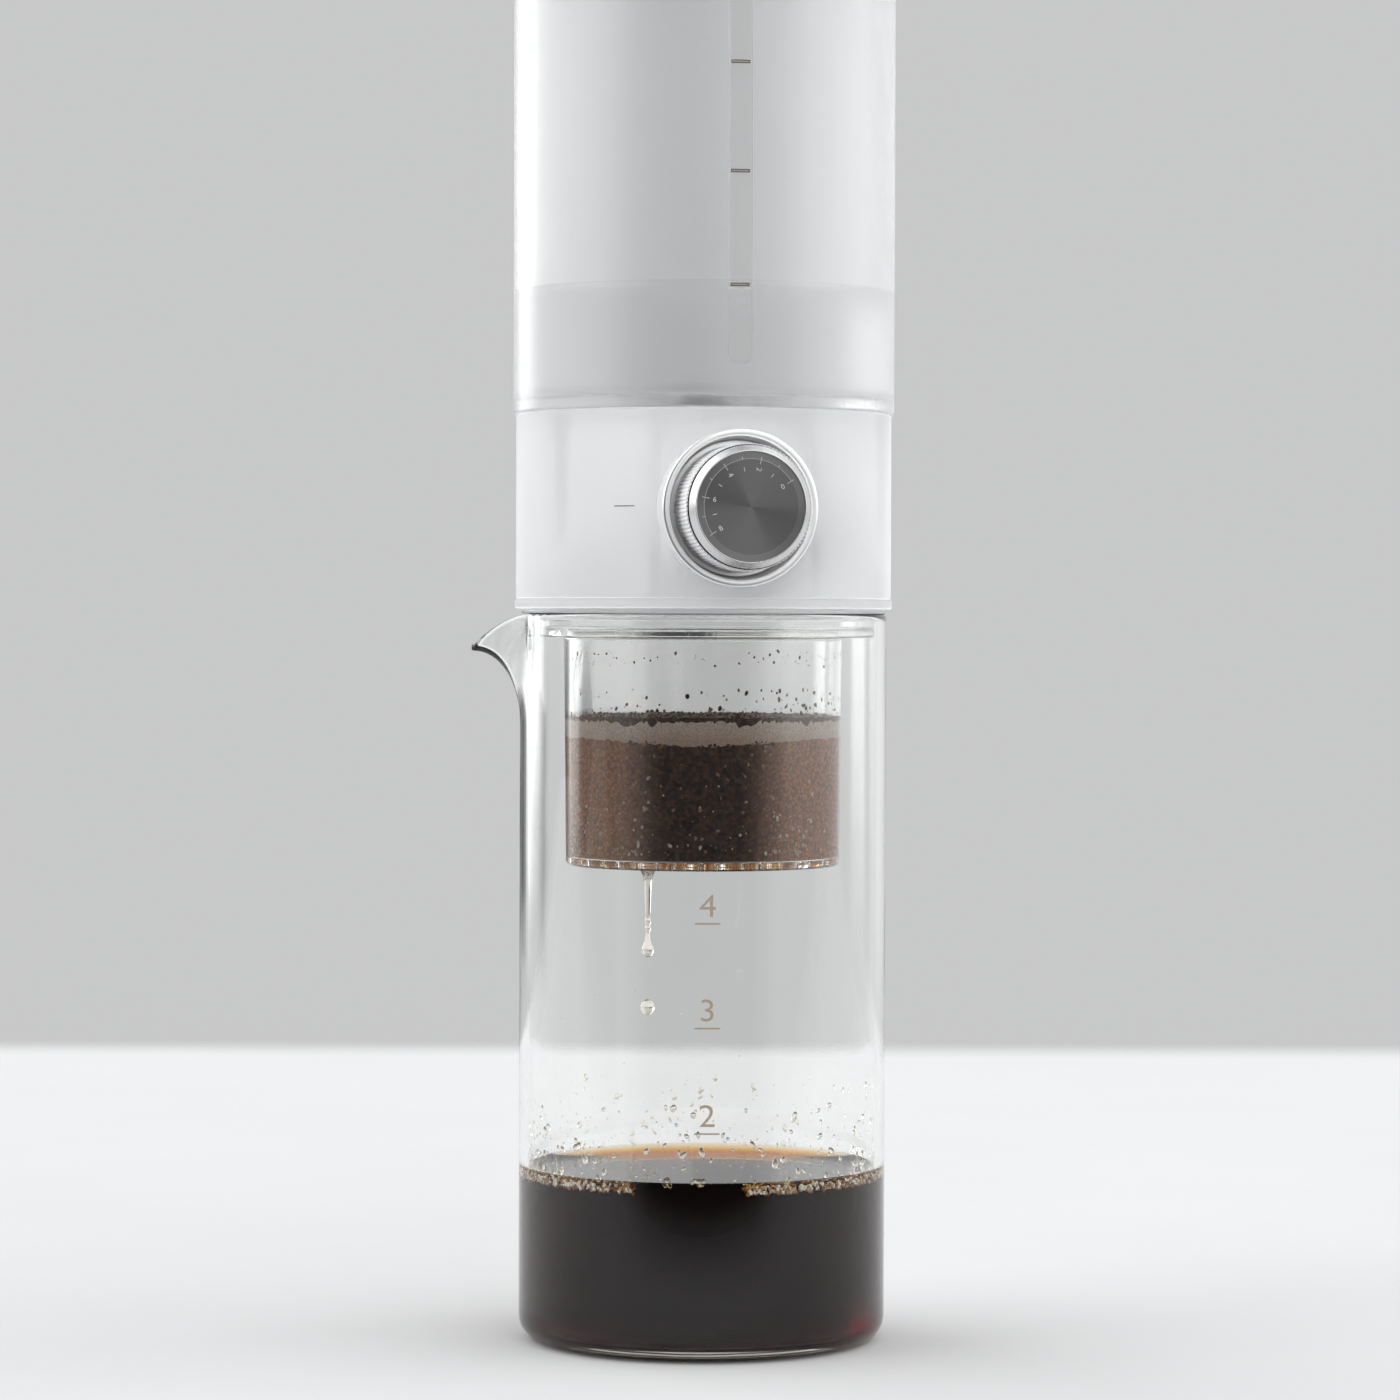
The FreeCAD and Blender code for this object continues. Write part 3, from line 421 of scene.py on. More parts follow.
def granule_group():
    """Ground coffee: grains with their own shade, pale chaff among them, and the gaps between them."""
    tree, (vector, scale, dark, light, chaff, share), ends = new_group(
        "coffee_granules",
        [("Vector", VECTOR, None), ("Scale", FLOAT, 900.0), ("Dark", COLOUR, (0.02, 0.01, 0.006, 1)),
         ("Light", COLOUR, (0.12, 0.06, 0.035, 1)), ("Chaff", COLOUR, (0.5, 0.36, 0.24, 1)),
         ("Chaff share", FLOAT, 0.93)],
        [("Colour", COLOUR), ("Height", FLOAT), ("Chaff", FLOAT)])
    wobble = flow(tree, "ShaderNodeTexNoise", "Color", Vector=vector, Scale=700.0, Detail=2.0)
    moved = add(tree, "ShaderNodeVectorMath", {"operation": "MULTIPLY_ADD"})
    feed_all(moved.inputs, wobble, (0.7 * MM, 0.7 * MM, 0.7 * MM), vector)
    cells = add(tree, "ShaderNodeTexVoronoi", Vector=moved.outputs[0], Scale=scale).outputs
    shade = add(tree, "ShaderNodeSeparateColor", Color=cells["Color"]).outputs
    reach = Flow(cells["Distance"])
    patches = noise(vector, 160.0, 3.0, 0.6) * 0.4
    tone = maths("MULTIPLY_ADD", Flow(shade[0]), 0.75, patches, clamp=True)
    flecks = (Flow(shade[1]) > share) * step(reach, 0.75, 0.35)
    feed_all(ends, blend(flecks, blend(tone ** 1.8, dark, light), chaff), step(reach, 0.8, 0.0), flecks)
    return tree


HANDLING = smudge_group()
FROST = frost_group()
TURNED = turned_group()
GRANULES = granule_group()


class Wiring:
    """Something that is made in a node tree."""

    def add(self, kind, settings=None, **inputs):
        return add(self.tree, kind, settings, **inputs)

    def flow(self, kind, output=0, settings=None, **inputs):
        return flow(self.tree, kind, output, settings, **inputs)


class Finish(Wiring):
    """A material being made: its tree, its main shader and the point that it shades."""

    def __init__(self, name):
        self.material = bpy.data.materials.new(name)
        self.material.use_nodes = True
        self.tree = self.material.node_tree
        self.tree.nodes.clear()
        self.output = self.add("ShaderNodeOutputMaterial").inputs
        self.shader = self.add("ShaderNodeBsdfPrincipled")
        self.point = self.flow("ShaderNodeTexCoord", "Object")
        feed(self.output["Surface"], self.shader.outputs["BSDF"])

    def set(self, **values):
        for name, value in values.items():
            feed(self.shader.inputs[name.replace("_", " ")], value)

    def group(self, tree, **inputs):
        """Places a node group and gives its outputs by name."""
        node = self.add("ShaderNodeGroup", {"node_tree": tree}, **inputs)
        return {socket.name: Flow(socket) for socket in node.outputs}

    def marks(self, clean, smudged, scale):
        """Handling marks on the piece."""
        return self.group(HANDLING, Vector=self.point, Clean=clean, Smudged=smudged, Scale=scale)

    def bump(self, height, depth, strength):
        self.set(Normal=self.flow("ShaderNodeBump", "Normal", Height=height, Distance=depth,
                                  Strength=strength))

    def knob_point(self):
        """The shaded point in the knob's own frame, with Z out along its axis."""
        return self.flow("ShaderNodeMapping", "Vector", {"vector_type": "TEXTURE"}, Vector=self.point,
                         Location=KNOB_FRAME.translation, Rotation=KNOB_FRAME.to_euler())

    def height(self):
        """Height of the shaded point."""
        return xyz(self.point)[2]

    def radius(self):
        """Distance of the shaded point from the object's axis."""
        across, along, _ = xyz(self.point)
        return distance(across, along)

    def slant(self):
        """0 where the surface faces the eye and 1 where it is seen edge on."""
        return self.flow("ShaderNodeLayerWeight", "Facing", Blend=0.5)

    def mixed(self, share, shader):
        """Mixes a share of another shader into what the surface shows."""
        shown = self.output["Surface"].links[0].from_socket
        mix = self.add("ShaderNodeMixShader")
        feed_all(mix.inputs, share, shown, shader.outputs["BSDF"])
        feed(self.output["Surface"], mix.outputs["Shader"])

    def hazed(self, share, colour):
        """Scatters part of the light widely on its way through the wall."""
        self.mixed(share, self.add("ShaderNodeBsdfTranslucent", Color=colour))

    def open_to_light(self, share=0.85):
        """Lets lamp light through a clear wall instead of stopping it as a shadow."""
        shadow_ray = self.flow("ShaderNodeLightPath", "Is Shadow Ray")
        self.mixed(shadow_ray * share, self.add("ShaderNodeBsdfTransparent"))

    def absorbing(self, colour, density):
        """Gives a liquid its colour by depth."""
        volume = self.add("ShaderNodeVolumeAbsorption", Color=colour, Density=density)
        feed(self.output["Volume"], volume.outputs["Volume"])


def clear_glass():
    """Clear glass, which hardly reflects where coffee wets it."""
    finish = Finish("clear_glass")
    height = finish.height()
    wet = finish.radius() < CARAFE_BORE + 0.02 * MM
    wet = wet * (height < COFFEE_LEVEL + MENISCUS * 0.8) * (height > CARAFE_PUNT + 1.0 * MM)
    marks = finish.marks(0.0, 0.05, 45.0)
    finish.set(Base_Color=blend(marks["Mask"], (0.995, 1.0, 0.998, 1), (0.98, 0.99, 0.985, 1)),
               Specular_Tint=blend(wet, grey(1.0), grey(0.06)), Roughness=marks["Roughness"], IOR=1.47,
               Transmission_Weight=1.0)
    finish.bump(noise(finish.point, 38.0, 1.0), 0.12 * MM, 0.5)
    return finish.material


def clear_plastic():
    """Clear moulded plastic with faint flow lines, milky at the container's thick flange."""
    finish = Finish("clear_plastic")
    marks = finish.marks(0.01, 0.09, 70.0)
    finish.set(Base_Color=blend(marks["Mask"], (0.99, 0.99, 0.985, 1), (0.97, 0.975, 0.97, 1)),
               Roughness=marks["Roughness"], IOR=1.49, Transmission_Weight=1.0)
    drawn = finish.flow("ShaderNodeMapping", "Vector", Vector=finish.point, Scale=(1.0, 1.0, 0.12))
    finish.bump(noise(drawn, 110.0), 0.1 * MM, 0.6)
    finish.hazed(step(finish.height(), FLANGE_LOW - 0.5 * MM, FLANGE_LOW), grey(0.99))
    return finish.material


def strip_mask(finish):
    """1 on the tank's clear gauge strip and 0 elsewhere, with the strip's rounded lower end."""
    across, along, height = xyz(finish.flow("ShaderNodeMapping", "Vector", {"vector_type": "TEXTURE"},
                                            Vector=finish.point, Rotation=(0, 0, KNOB_TURN)))
    below = maths("MAXIMUM", STRIP_LOW + STRIP_HALF_WIDTH - height, 0.0)
    reach = distance(maths("ABSOLUTE", across), below)
    return step(reach, STRIP_HALF_WIDTH + STRIP_EDGE, STRIP_HALF_WIDTH - STRIP_EDGE) * (along < 0.0)


def frosted_plastic():
    """The tank's plastic, frosted on its outside but for the gauge strip; painted light makes it paler at a
    slant.
    """
    finish = Finish("frosted_plastic")
    strip = strip_mask(finish)
    clear = 1.0 - strip
    outer = step(finish.radius(), *[TANK_RADIUS - depth for depth in FROST_DEPTHS])
    frost = finish.group(FROST, Vector=finish.point, Roughness=0.25, Spread=0.04)
    rough = outer * (frost["Roughness"] - 0.3) + 0.3
    # painted light: paler where the wall is seen at a slant, darker where it faces the eye, as if lit from
    # the sides
    tone = blend(step(finish.slant(), 0.0, 0.2), (0.7, 0.705, 0.71, 1), (0.82, 0.825, 0.83, 1))
    finish.set(Base_Color=blend(strip, tone, grey(0.72)), Roughness=rough * clear + 0.01, IOR=1.5,
               Transmission_Weight=0.85)
    finish.bump(strip * 5.0 + frost["Height"] * clear, 0.03 * MM, 0.6)
    finish.hazed(clear * outer * 0.12, (0.93, 0.935, 0.94, 1))
    finish.open_to_light()
    return finish.material


def misted(name, frost_values, tones, ior, transmission, bump_strength, haze=None):
    """A translucent moulding that is frosted all over."""
    finish = Finish(name)
    frost = finish.group(FROST, Vector=finish.point, **frost_values)
    finish.set(Base_Color=blend(frost["Height"], *tones), Roughness=frost["Roughness"], IOR=ior,
               Transmission_Weight=transmission)
    finish.bump(frost["Height"], 0.02 * MM, bump_strength)
    if haze:
        finish.hazed(*haze)
    finish.open_to_light()
    return finish.material


def metal(name, dark, light, rough, pitch, depth, satin_below=None, groove_shadow_to=None):
    """A turned metal with lathe lines round the knob's axis; where stations are given it is satin below the
    first, painted black from there to the second as painted shadow in the knob's groove, and a little darker
    beyond."""
    finish = Finish(name)
    place = finish.knob_point()
    lines = finish.group(TURNED, Vector=place, Pitch=pitch)
    roughness = finish.marks(rough, rough + 0.12, 120.0)["Roughness"]
    colour = blend(lines["Mask"], light, dark)
    if satin_below:
        station = xyz(place)[2]
        satin = station < satin_below
        roughness = satin * 0.4 + roughness
        # painted shadow: the metal is black between the two stations, in the groove where shade falls
        colour = blend((station < groove_shadow_to) - satin, colour, grey(0.03))
        colour = blend((station > groove_shadow_to) * 0.4, colour, grey(0.3))
    finish.set(Base_Color=colour, Metallic=1.0, Roughness=roughness)
    finish.bump(lines["Height"], depth, 0.5)
    return finish.material


def sheet_steel():
    """Rolled stainless sheet."""
    finish = Finish("sheet_steel")
    rolled = finish.flow("ShaderNodeMapping", "Vector", Vector=finish.point, Scale=(1.0, 14.0, 14.0))
    lines = noise(rolled, 400.0, 3.0)
    finish.set(Base_Color=blend(lines, (0.5, 0.5, 0.49, 1), (0.68, 0.68, 0.67, 1)), Metallic=1.0,
               Roughness=finish.marks(0.22, 0.38, 90.0)["Roughness"])
    finish.bump(lines, 0.01 * MM, 0.4)
    return finish.material


def dial_metal():
    """Dark spun metal, whose light fans out round the dial's centre, with a lighter edge."""
    finish = Finish("dial_metal")
    lines = finish.group(TURNED, Vector=finish.knob_point(), Pitch=0.08 * MM, Wander=0.1)
    spin = xyz(finish.flow("ShaderNodeUVMap", 0, {"uv_map": "spin"}))[1]
    outer = step(spin, DIAL_EDGE_SHARE - 0.005, DIAL_EDGE_SHARE + 0.005)
    tone = blend(lines["Height"], grey(0.14), (0.23, 0.23, 0.232, 1))
    finish.set(Base_Color=blend(outer * 0.1, tone, grey(0.7)), Metallic=1.0, Roughness=0.38, Anisotropic=1.0,
               Anisotropic_Rotation=0.25,
               Tangent=finish.flow("ShaderNodeTangent", 0, {"direction_type": "UV_MAP", "uv_map": "spin"}))
    return finish.material


def moulded(name, first, second, rough):
    """An opaque moulded plastic or rubber."""
    finish = Finish(name)
    frost = finish.group(FROST, Vector=finish.point, Roughness=rough, Spread=0.12, Scale=1800.0)
    finish.set(Base_Color=blend(frost["Height"], first, second), Roughness=frost["Roughness"])
    finish.bump(frost["Height"], 0.03 * MM, 0.6)
    return finish.material


def print_ink(name, first, second):
    """Screen-printed ink, a little thin in places."""
    finish = Finish(name)
    wear = noise(finish.point, 2600.0, 3.0, 0.7)
    finish.set(Base_Color=blend(step(wear, 0.35, 0.7), first, second), Roughness=0.45)
    finish.bump(wear, 0.008 * MM, 0.6)
    return finish.material


def coffee_liquid():
    """Brewed coffee, which mirrors the room only on its open face."""
    finish = Finish("coffee_liquid")
    open_face = (finish.height() > COFFEE_LEVEL - 0.1 * MM) * (finish.radius() < CARAFE_BORE - 0.1 * MM)
    film = noise(finish.point, 60.0, 3.0)
    finish.set(Base_Color=blend(film, (1.0, 0.98, 0.95, 1), (0.97, 0.93, 0.88, 1)),
               Specular_Tint=blend(open_face, grey(0.1), grey(1.0)), Roughness=0.0, IOR=1.34,
               Transmission_Weight=1.0)
    finish.absorbing((0.912, 0.68, 0.22, 1), 800.0)
    return finish.material


def thin_coffee():
    """The film of coffee in and under the drains."""
    finish = Finish("thin_coffee")
    film = noise(finish.point, 500.0)
    finish.set(Base_Color=blend(film, (0.95, 0.82, 0.6, 1), (0.8, 0.58, 0.34, 1)), Roughness=0.05, IOR=1.34,
               Transmission_Weight=0.9)
    finish.absorbing((0.8, 0.6, 0.3, 1), 220.0)
    return finish.material


def plain_water(name, first, second, rough=0.0):
    """Water, clear or faintly tinted."""
    finish = Finish(name)
    finish.set(Base_Color=blend(noise(finish.point, 300.0), first, second), Roughness=rough, IOR=1.333,
               Transmission_Weight=1.0)
    finish.open_to_light()
    return finish.material


def bubble_film():
    """The pale skin of small bubbles."""
    finish = Finish("bubble_film")
    finish.set(Base_Color=blend(noise(finish.point, 900.0), (1.0, 0.98, 0.92, 1), (1.0, 0.9, 0.7, 1)),
               Roughness=0.3, Coat_Weight=0.6, Coat_Roughness=0.05)
    return finish.material


def wet_grounds(name, dark, light, chaff, share, scale, painted_slant_light=None):
    """Wet ground coffee, with a brown painted light blended in where the face is seen at a slant."""
    finish = Finish(name)
    grain = finish.group(GRANULES, Vector=finish.point, Scale=scale, Dark=dark, Light=light, Chaff=chaff,
                         Chaff_share=share)
    colour = grain["Colour"]
    if painted_slant_light:
        # painted light: the colour turns towards a brown where the face is seen at a slant, standing in for
        # side light
        colour = blend(step(finish.slant(), 0.008, 0.12) * (grain["Height"] * 0.6 + 0.3), colour, painted_slant_light)
    finish.set(Base_Color=colour, Roughness=0.55, Coat_Weight=0.05, Coat_Roughness=0.2)
    finish.bump(grain["Height"], 0.3 * MM, 0.7)
    return finish.material


def coffee_froth():
    """Froth of fine bubbles, browner towards the grounds."""
    finish = Finish("coffee_froth")
    cells = finish.flow("ShaderNodeTexVoronoi", "Distance", Vector=finish.point, Scale=2600.0)
    level = finish.height() + noise(finish.point, 130.0, 3.0) * (3.0 * MM)
    body = blend(step(level, BED_TOP + 0.5 * MM, CRUST_LOW), (0.68, 0.46, 0.33, 1), (1.0, 0.83, 0.7, 1))
    body = blend(step(noise(finish.point, 2200.0, 4.0, 0.75), 0.32, 0.6), (0.5, 0.34, 0.25, 1), body)
    finish.set(Base_Color=blend(step(cells, 0.25, 0.6) * 0.35, body, (0.95, 0.85, 0.75, 1)), Roughness=0.4,
               Coat_Weight=0.1)
    finish.bump(cells, 0.2 * MM, 0.6)
    return finish.material


def pale_table():
    """A matte pale table top that fades out at its ends."""
    finish = Finish("pale_table")
    mottle = noise(finish.point, 9.0, 5.0, 0.6)
    finish.set(Base_Color=blend(mottle, (0.675, 0.68, 0.685, 1), (0.715, 0.715, 0.72, 1)), Roughness=0.9,
               Specular_IOR_Level=0.0)
    along = xyz(finish.point)[1]
    ends = step(along, *TABLE_BACK) + step(along, *TABLE_FRONT[::-1])
    mirrored = finish.flow("ShaderNodeLightPath", "Is Glossy Ray") * step(along, *MIRRORED_FRONT[::-1])
    finish.mixed(maths("MAXIMUM", ends, mirrored), finish.add("ShaderNodeBsdfTransparent"))
    return finish.material


GLASS = clear_glass()
PLASTIC = clear_plastic()
FROSTED = frosted_plastic()
COLLAR = misted("collar_plastic", {"Roughness": 0.5, "Spread": 0.05, "Scale": 3800.0},
                ((0.93, 0.935, 0.94, 1), (0.97, 0.97, 0.975, 1)), 1.5, 0.85, 0.6,
                (0.7, (0.92, 0.925, 0.93, 1)))
SILICONE = misted("clear_silicone", {"Roughness": 0.3, "Spread": 0.1, "Scale": 1500.0},
                  ((0.86, 0.87, 0.87, 1), (0.93, 0.93, 0.93, 1)), 1.41, 0.7, 0.5)
STEEL = sheet_steel()
POLISHED = metal("polished_metal", (0.86, 0.86, 0.865, 1), grey(0.96), 0.3, 0.2 * MM, 0.004 * MM)
# The black band from the groove to just past the bezel's foot is painted shadow
KNOB_METAL = metal("knob_metal", (0.86, 0.86, 0.865, 1), (0.97, 0.97, 0.975, 1), 0.24, 0.15 * MM, 0.004 * MM,
                   GROOVE_LOW - 0.03 * MM, BEZEL_LOW + 0.35 * MM)
SCREW_METAL = metal("screw_metal", grey(0.5), (0.66, 0.66, 0.65, 1), 0.24, 0.4 * MM, 0.01 * MM)
BRASS = metal("turned_brass", (0.55, 0.38, 0.16, 1), (0.78, 0.6, 0.32, 1), 0.22, 0.3 * MM, 0.01 * MM)
DIAL = dial_metal()
WHITE_PLASTIC = moulded("white_plastic", (0.78, 0.78, 0.77, 1), (0.86, 0.86, 0.85, 1), 0.42)
BLACK_PLASTIC = moulded("black_plastic", grey(0.02), grey(0.045), 0.45)
BLACK_RUBBER = moulded("black_rubber", grey(0.012), grey(0.03), 0.6)
GOLD_INK = print_ink("gold_ink", (0.36, 0.29, 0.21, 1), (0.46, 0.38, 0.29, 1))
DARK_INK = print_ink("dark_ink", grey(0.02), (0.06, 0.06, 0.055, 1))
TAN_INK = print_ink("tan_ink", (0.32, 0.27, 0.22, 1), (0.42, 0.36, 0.3, 1))
GREY_INK = print_ink("grey_ink", grey(0.1), grey(0.18))
DIAL_INK = print_ink("dial_ink", grey(0.5), grey(0.66))
COFFEE = coffee_liquid()
THIN_COFFEE = thin_coffee()
WATER = plain_water("tank_water", grey(1.0), (0.985, 0.995, 1.0, 1), 0.18)
DROP_WATER = plain_water("drop_water", (1.0, 0.985, 0.93, 1), (0.97, 0.93, 0.82, 1))
BUBBLE = bubble_film()
# The last colour of the bed and of the crust is painted light, blended in where the face is seen at a slant
GROUNDS = wet_grounds("wet_grounds", (0.012, 0.006, 0.004, 1), (0.15, 0.068, 0.038, 1),
                      (0.42, 0.28, 0.18, 1), 0.975, 1150.0, (0.8, 0.32, 0.1, 1))
CRUST = wet_grounds("crust_grounds", (0.01, 0.005, 0.003, 1), (0.17, 0.075, 0.035, 1),
                    (0.52, 0.25, 0.09, 1), 0.93, 1200.0, (0.3, 0.13, 0.05, 1))
SPECK = wet_grounds("wall_specks", (0.01, 0.005, 0.003, 1), (0.25, 0.1, 0.04, 1),
                    (0.7, 0.42, 0.14, 1), 0.72, 420.0)
CHAFF = wet_grounds("chaff_flakes", (0.5, 0.34, 0.22, 1), (0.9, 0.72, 0.55, 1),
                    (0.95, 0.88, 0.75, 1), 0.5, 500.0)
FROTH = coffee_froth()
TABLE = pale_table()


# Meshes

def linked(name, data):
    """A new object in the scene."""
    thing = bpy.data.objects.new(name, data)
    bpy.context.scene.collection.objects.link(thing)
    return thing


def evaluated_mesh(thing):
    """An object's mesh with all its modifiers, or its text, as a plain mesh."""
    bpy.context.view_layer.update()
    return bpy.data.meshes.new_from_object(thing.evaluated_get(bpy.context.evaluated_depsgraph_get()))


def finished(name, mesh, material, sharp=32.0):
    """An object at the origin with outward faces, smooth but for its real edges."""
    work = bmesh.new()
    work.from_mesh(mesh)
    bmesh.ops.remove_doubles(work, verts=work.verts, dist=2e-7)
    bmesh.ops.recalc_face_normals(work, faces=work.faces)
    work.to_mesh(mesh)
    work.free()
    mesh.shade_smooth()
    mesh.set_sharp_from_angle(angle=math.radians(sharp))
    mesh.materials.clear()
    mesh.materials.append(material)
    return linked(name, mesh)


def rounded(corners, closed=True):
    """Points of an outline through (radius, height, rounding) corners, with its arcs and support points."""
    count = len(corners)
    spans = []
    for i, (radius, height, rounding) in enumerate(corners):
        here = Vector((radius, height))
        if rounding <= 0 or not closed and i in (0, count - 1):
            spans.append([here])
            continue
        back = (Vector(corners[i - 1][:2]) - here).normalized()
        ahead = (Vector(corners[(i + 1) % count][:2]) - here).normalized()
        half = back.angle(ahead) / 2
        centre = here + (back + ahead).normalized() * (rounding / math.sin(half))
        reach = rounding / math.tan(half)
        first = here + back * reach - centre
        turn = -first.angle_signed(here + ahead * reach - centre) / ROUND_STEPS
        spans.append([centre + Matrix.Rotation(turn * k, 2) @ first for k in range(ROUND_STEPS + 1)])
    points = []
    for i, span in enumerate(spans):
        points += span
        if not closed and i == count - 1:
            break
        start, end = span[-1], spans[(i + 1) % count][0]
        run = (end - start).length
        if run > 4 * SUPPORT:
            points += [start.lerp(end, SUPPORT / run), start.lerp(end, 1 - SUPPORT / run)]
    return [(p.x, p.y) for p in points]


def lathe_mesh(name, outline, segments=SEGMENTS, closed=True, turn=None):
    """A mesh of revolution about Z, in the knob's frame where turn is given."""
    angles = [FULL_TURN * i / segments for i in range(segments)]
    points = []
    rings = []
    for radius, height in outline:
        if radius < 1e-7:
            rings.append([len(points)] * segments)
            points.append(Vector((0, 0, height)))
            continue
        rings.append(list(range(len(points), len(points) + segments)))
        points += [Vector((radius * math.cos(a), radius * math.sin(a), height)) for a in angles]
    faces = []
    last = len(rings) if closed else len(rings) - 1
    for i in range(last):
        a, b = rings[i], rings[(i + 1) % len(rings)]
        if a[0] == a[1] and b[0] == b[1]:
            continue
        for k in range(segments):
            n = (k + 1) % segments
            faces.append(list(dict.fromkeys([a[k], a[n], b[n], b[k]])))
    if turn:
        points = [turn @ p for p in points]
    mesh = bpy.data.meshes.new(name)
    mesh.from_pydata(points, [], faces)
    return mesh


def turned(name, corners, material, segments=SEGMENTS, turn=None, sharp=32.0):
    """A finished solid of revolution."""
    return finished(name, lathe_mesh(name, rounded(corners), segments, turn=turn), material, sharp)


def slab(foot, head, radius):
    """Corners of a plain round body between two heights."""
    return [(0, foot, 0), (radius, foot, 0), (radius, head, 0), (0, head, 0)]


def skinned(name, rows, material, sharp):
    """A finished body through rows of points, each row joined to the next all the way round."""
    count = len(rows[0])
    faces = []
    for start in range(0, (len(rows) - 1) * count, count):
        for k in range(count):
            n = (k + 1) % count
            faces.append((start + k, start + n, start + count + n, start + count + k))
    mesh = bpy.data.meshes.new(name)
    mesh.from_pydata([p for row in rows for p in row], [], faces)
    return finished(name, mesh, material, sharp)


def carve(piece, tool):
    """Cuts one closed mesh with another and keeps the result as a plain mesh."""
    modifier = piece.modifiers.new("carve", "BOOLEAN")
    modifier.operation = "DIFFERENCE"
    modifier.solver = "EXACT"
    modifier.object = tool
    result = evaluated_mesh(piece)
    piece.modifiers.remove(modifier)
    piece.data = result
    piece.data.set_sharp_from_angle(angle=math.radians(32))
    bpy.data.objects.remove(tool)
    return piece


def joined(name, pieces):
    """Makes one piece of several that share a material."""
    work = bmesh.new()
    for piece in pieces:
        work.from_mesh(piece.data)
    work.to_mesh(pieces[0].data)
    work.free()
    for piece in pieces[1:]:
        bpy.data.objects.remove(piece)
    pieces[0].name = name
    return pieces[0]


def seat(piece, body, slot, *nodes):
    """Puts a piece on its body and hides the CAD nodes that it stands for; its slot is not used."""
    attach(piece, body)
    if nodes:
        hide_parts(*nodes)


# Geometry Nodes

class Growth(Wiring):
    """A Geometry Nodes tree being made, with named sizes that its modifier sets."""

    def __init__(self, name, sizes):
        self.name = name
        self.tree = bpy.data.node_groups.new(name, "GeometryNodeTree")
        self.tree.interface.new_socket("Geometry", in_out="OUTPUT", socket_type="NodeSocketGeometry")
        self.sizes = {}
        for label, value in sizes.items():
            kind = "NodeSocketInt" if isinstance(value, int) else FLOAT
            socket = self.tree.interface.new_socket(label, in_out="INPUT", socket_type=kind)
            self.sizes[socket.identifier] = value
        self.start = self.tree.nodes.new("NodeGroupInput")
        self.end = self.tree.nodes.new("NodeGroupOutput")

    def size(self, label):
        return Flow(self.start.outputs[label])

    def vector(self, x, y, z):
        return self.flow("ShaderNodeCombineXYZ", X=x, Y=y, Z=z)

    def chance(self, least, most, number):
        """A random value for each point between two values."""
        seed = self.size("Seed") + float(number)
        node = self.add("FunctionNodeRandomValue", {"data_type": "FLOAT"}, Seed=seed)
        feed_all(node.inputs[2:4], least, most)
        return Flow(node.outputs[1])

    def grown(self, geometry, material):
        """The tree's result as a plain mesh."""
        real = self.flow("GeometryNodeRealizeInstances", Geometry=geometry)
        feed(self.end.inputs["Geometry"],
             self.flow("GeometryNodeSetMaterial", Geometry=real, Material=material))
        host = linked(self.name, bpy.data.meshes.new(self.name))
        modifier = host.modifiers.new("growth", "NODES")
        modifier.node_group = self.tree
        for identifier, value in self.sizes.items():
            modifier[identifier] = value
        mesh = evaluated_mesh(host)
        host.modifiers.remove(modifier)
        bpy.data.objects.remove(host)
        return mesh


def sprinkled(name, shape, material, seed, count, arc, heights, radius, sizes, crowding=1.0, depth=0.0,
              rarity=3.0, flatness=1.0, stretch=0.0, climb=0.0, sharp=25.0):
    """Small drops, bubbles or grains on the inside of a round wall, over an arc in degrees. Depth spreads
    them inwards, and climb lifts those near the wall, as a liquid's edge does."""
    growth = Growth(name, {
        "Seed": seed, "Count": count, "Arc start": math.radians(arc[0]), "Arc end": math.radians(arc[1]),
        "Low": heights[0], "High": heights[1], "Crowding": crowding, "Radius": radius, "Depth": depth,
        "Smallest": sizes[0], "Largest": sizes[1], "Rarity": rarity, "Flatness": flatness,
        "Stretch": stretch, "Climb": climb, "Climb reach": MENISCUS_REACH,
    })
    size, chance = growth.size, growth.chance
    angle = chance(size("Arc start"), size("Arc end"), 1)
    height = chance(0.0, 1.0, 2) ** size("Crowding") * (size("High") - size("Low")) + size("Low")
    inset = chance(0.0, 1.0, 3) ** 2.0 * size("Depth")
    height = maths("EXPONENT", inset * -1.0 / size("Climb reach")) * size("Climb") + height
    reach = size("Radius") - inset
    place = growth.vector(reach * maths("COSINE", angle), reach * maths("SINE", angle), height)
    points = growth.flow("GeometryNodePoints", Count=size("Count"), Position=place)
    turn = growth.vector(chance(-0.9, 0.9, 4), 0.0, angle)
    grain = chance(0.0, 1.0, 5) ** size("Rarity") * (size("Largest") - size("Smallest")) + size("Smallest")
    longer = chance(0.0, 1.0, 6) * size("Stretch") + 1.0
    scale = growth.vector(grain * size("Flatness"), grain, grain * longer)
    if shape == "grain":
        body = growth.flow("GeometryNodeMeshIcoSphere", Radius=1.0, Subdivisions=2)
    else:
        body = growth.flow("GeometryNodeMeshUVSphere", Segments=10, Rings=6, Radius=1.0)
    if shape == "drop":
        x, y, z = xyz(growth.flow("GeometryNodeInputPosition"))
        flat = growth.vector(maths("MINIMUM", x, 0.0), y, z)
        body = growth.flow("GeometryNodeSetPosition", Geometry=body, Position=flat)
    placed = growth.flow("GeometryNodeInstanceOnPoints", Points=points, Instance=body, Rotation=turn,
                         Scale=scale)
    return finished(name, growth.grown(placed, material), material, sharp)


# Prints

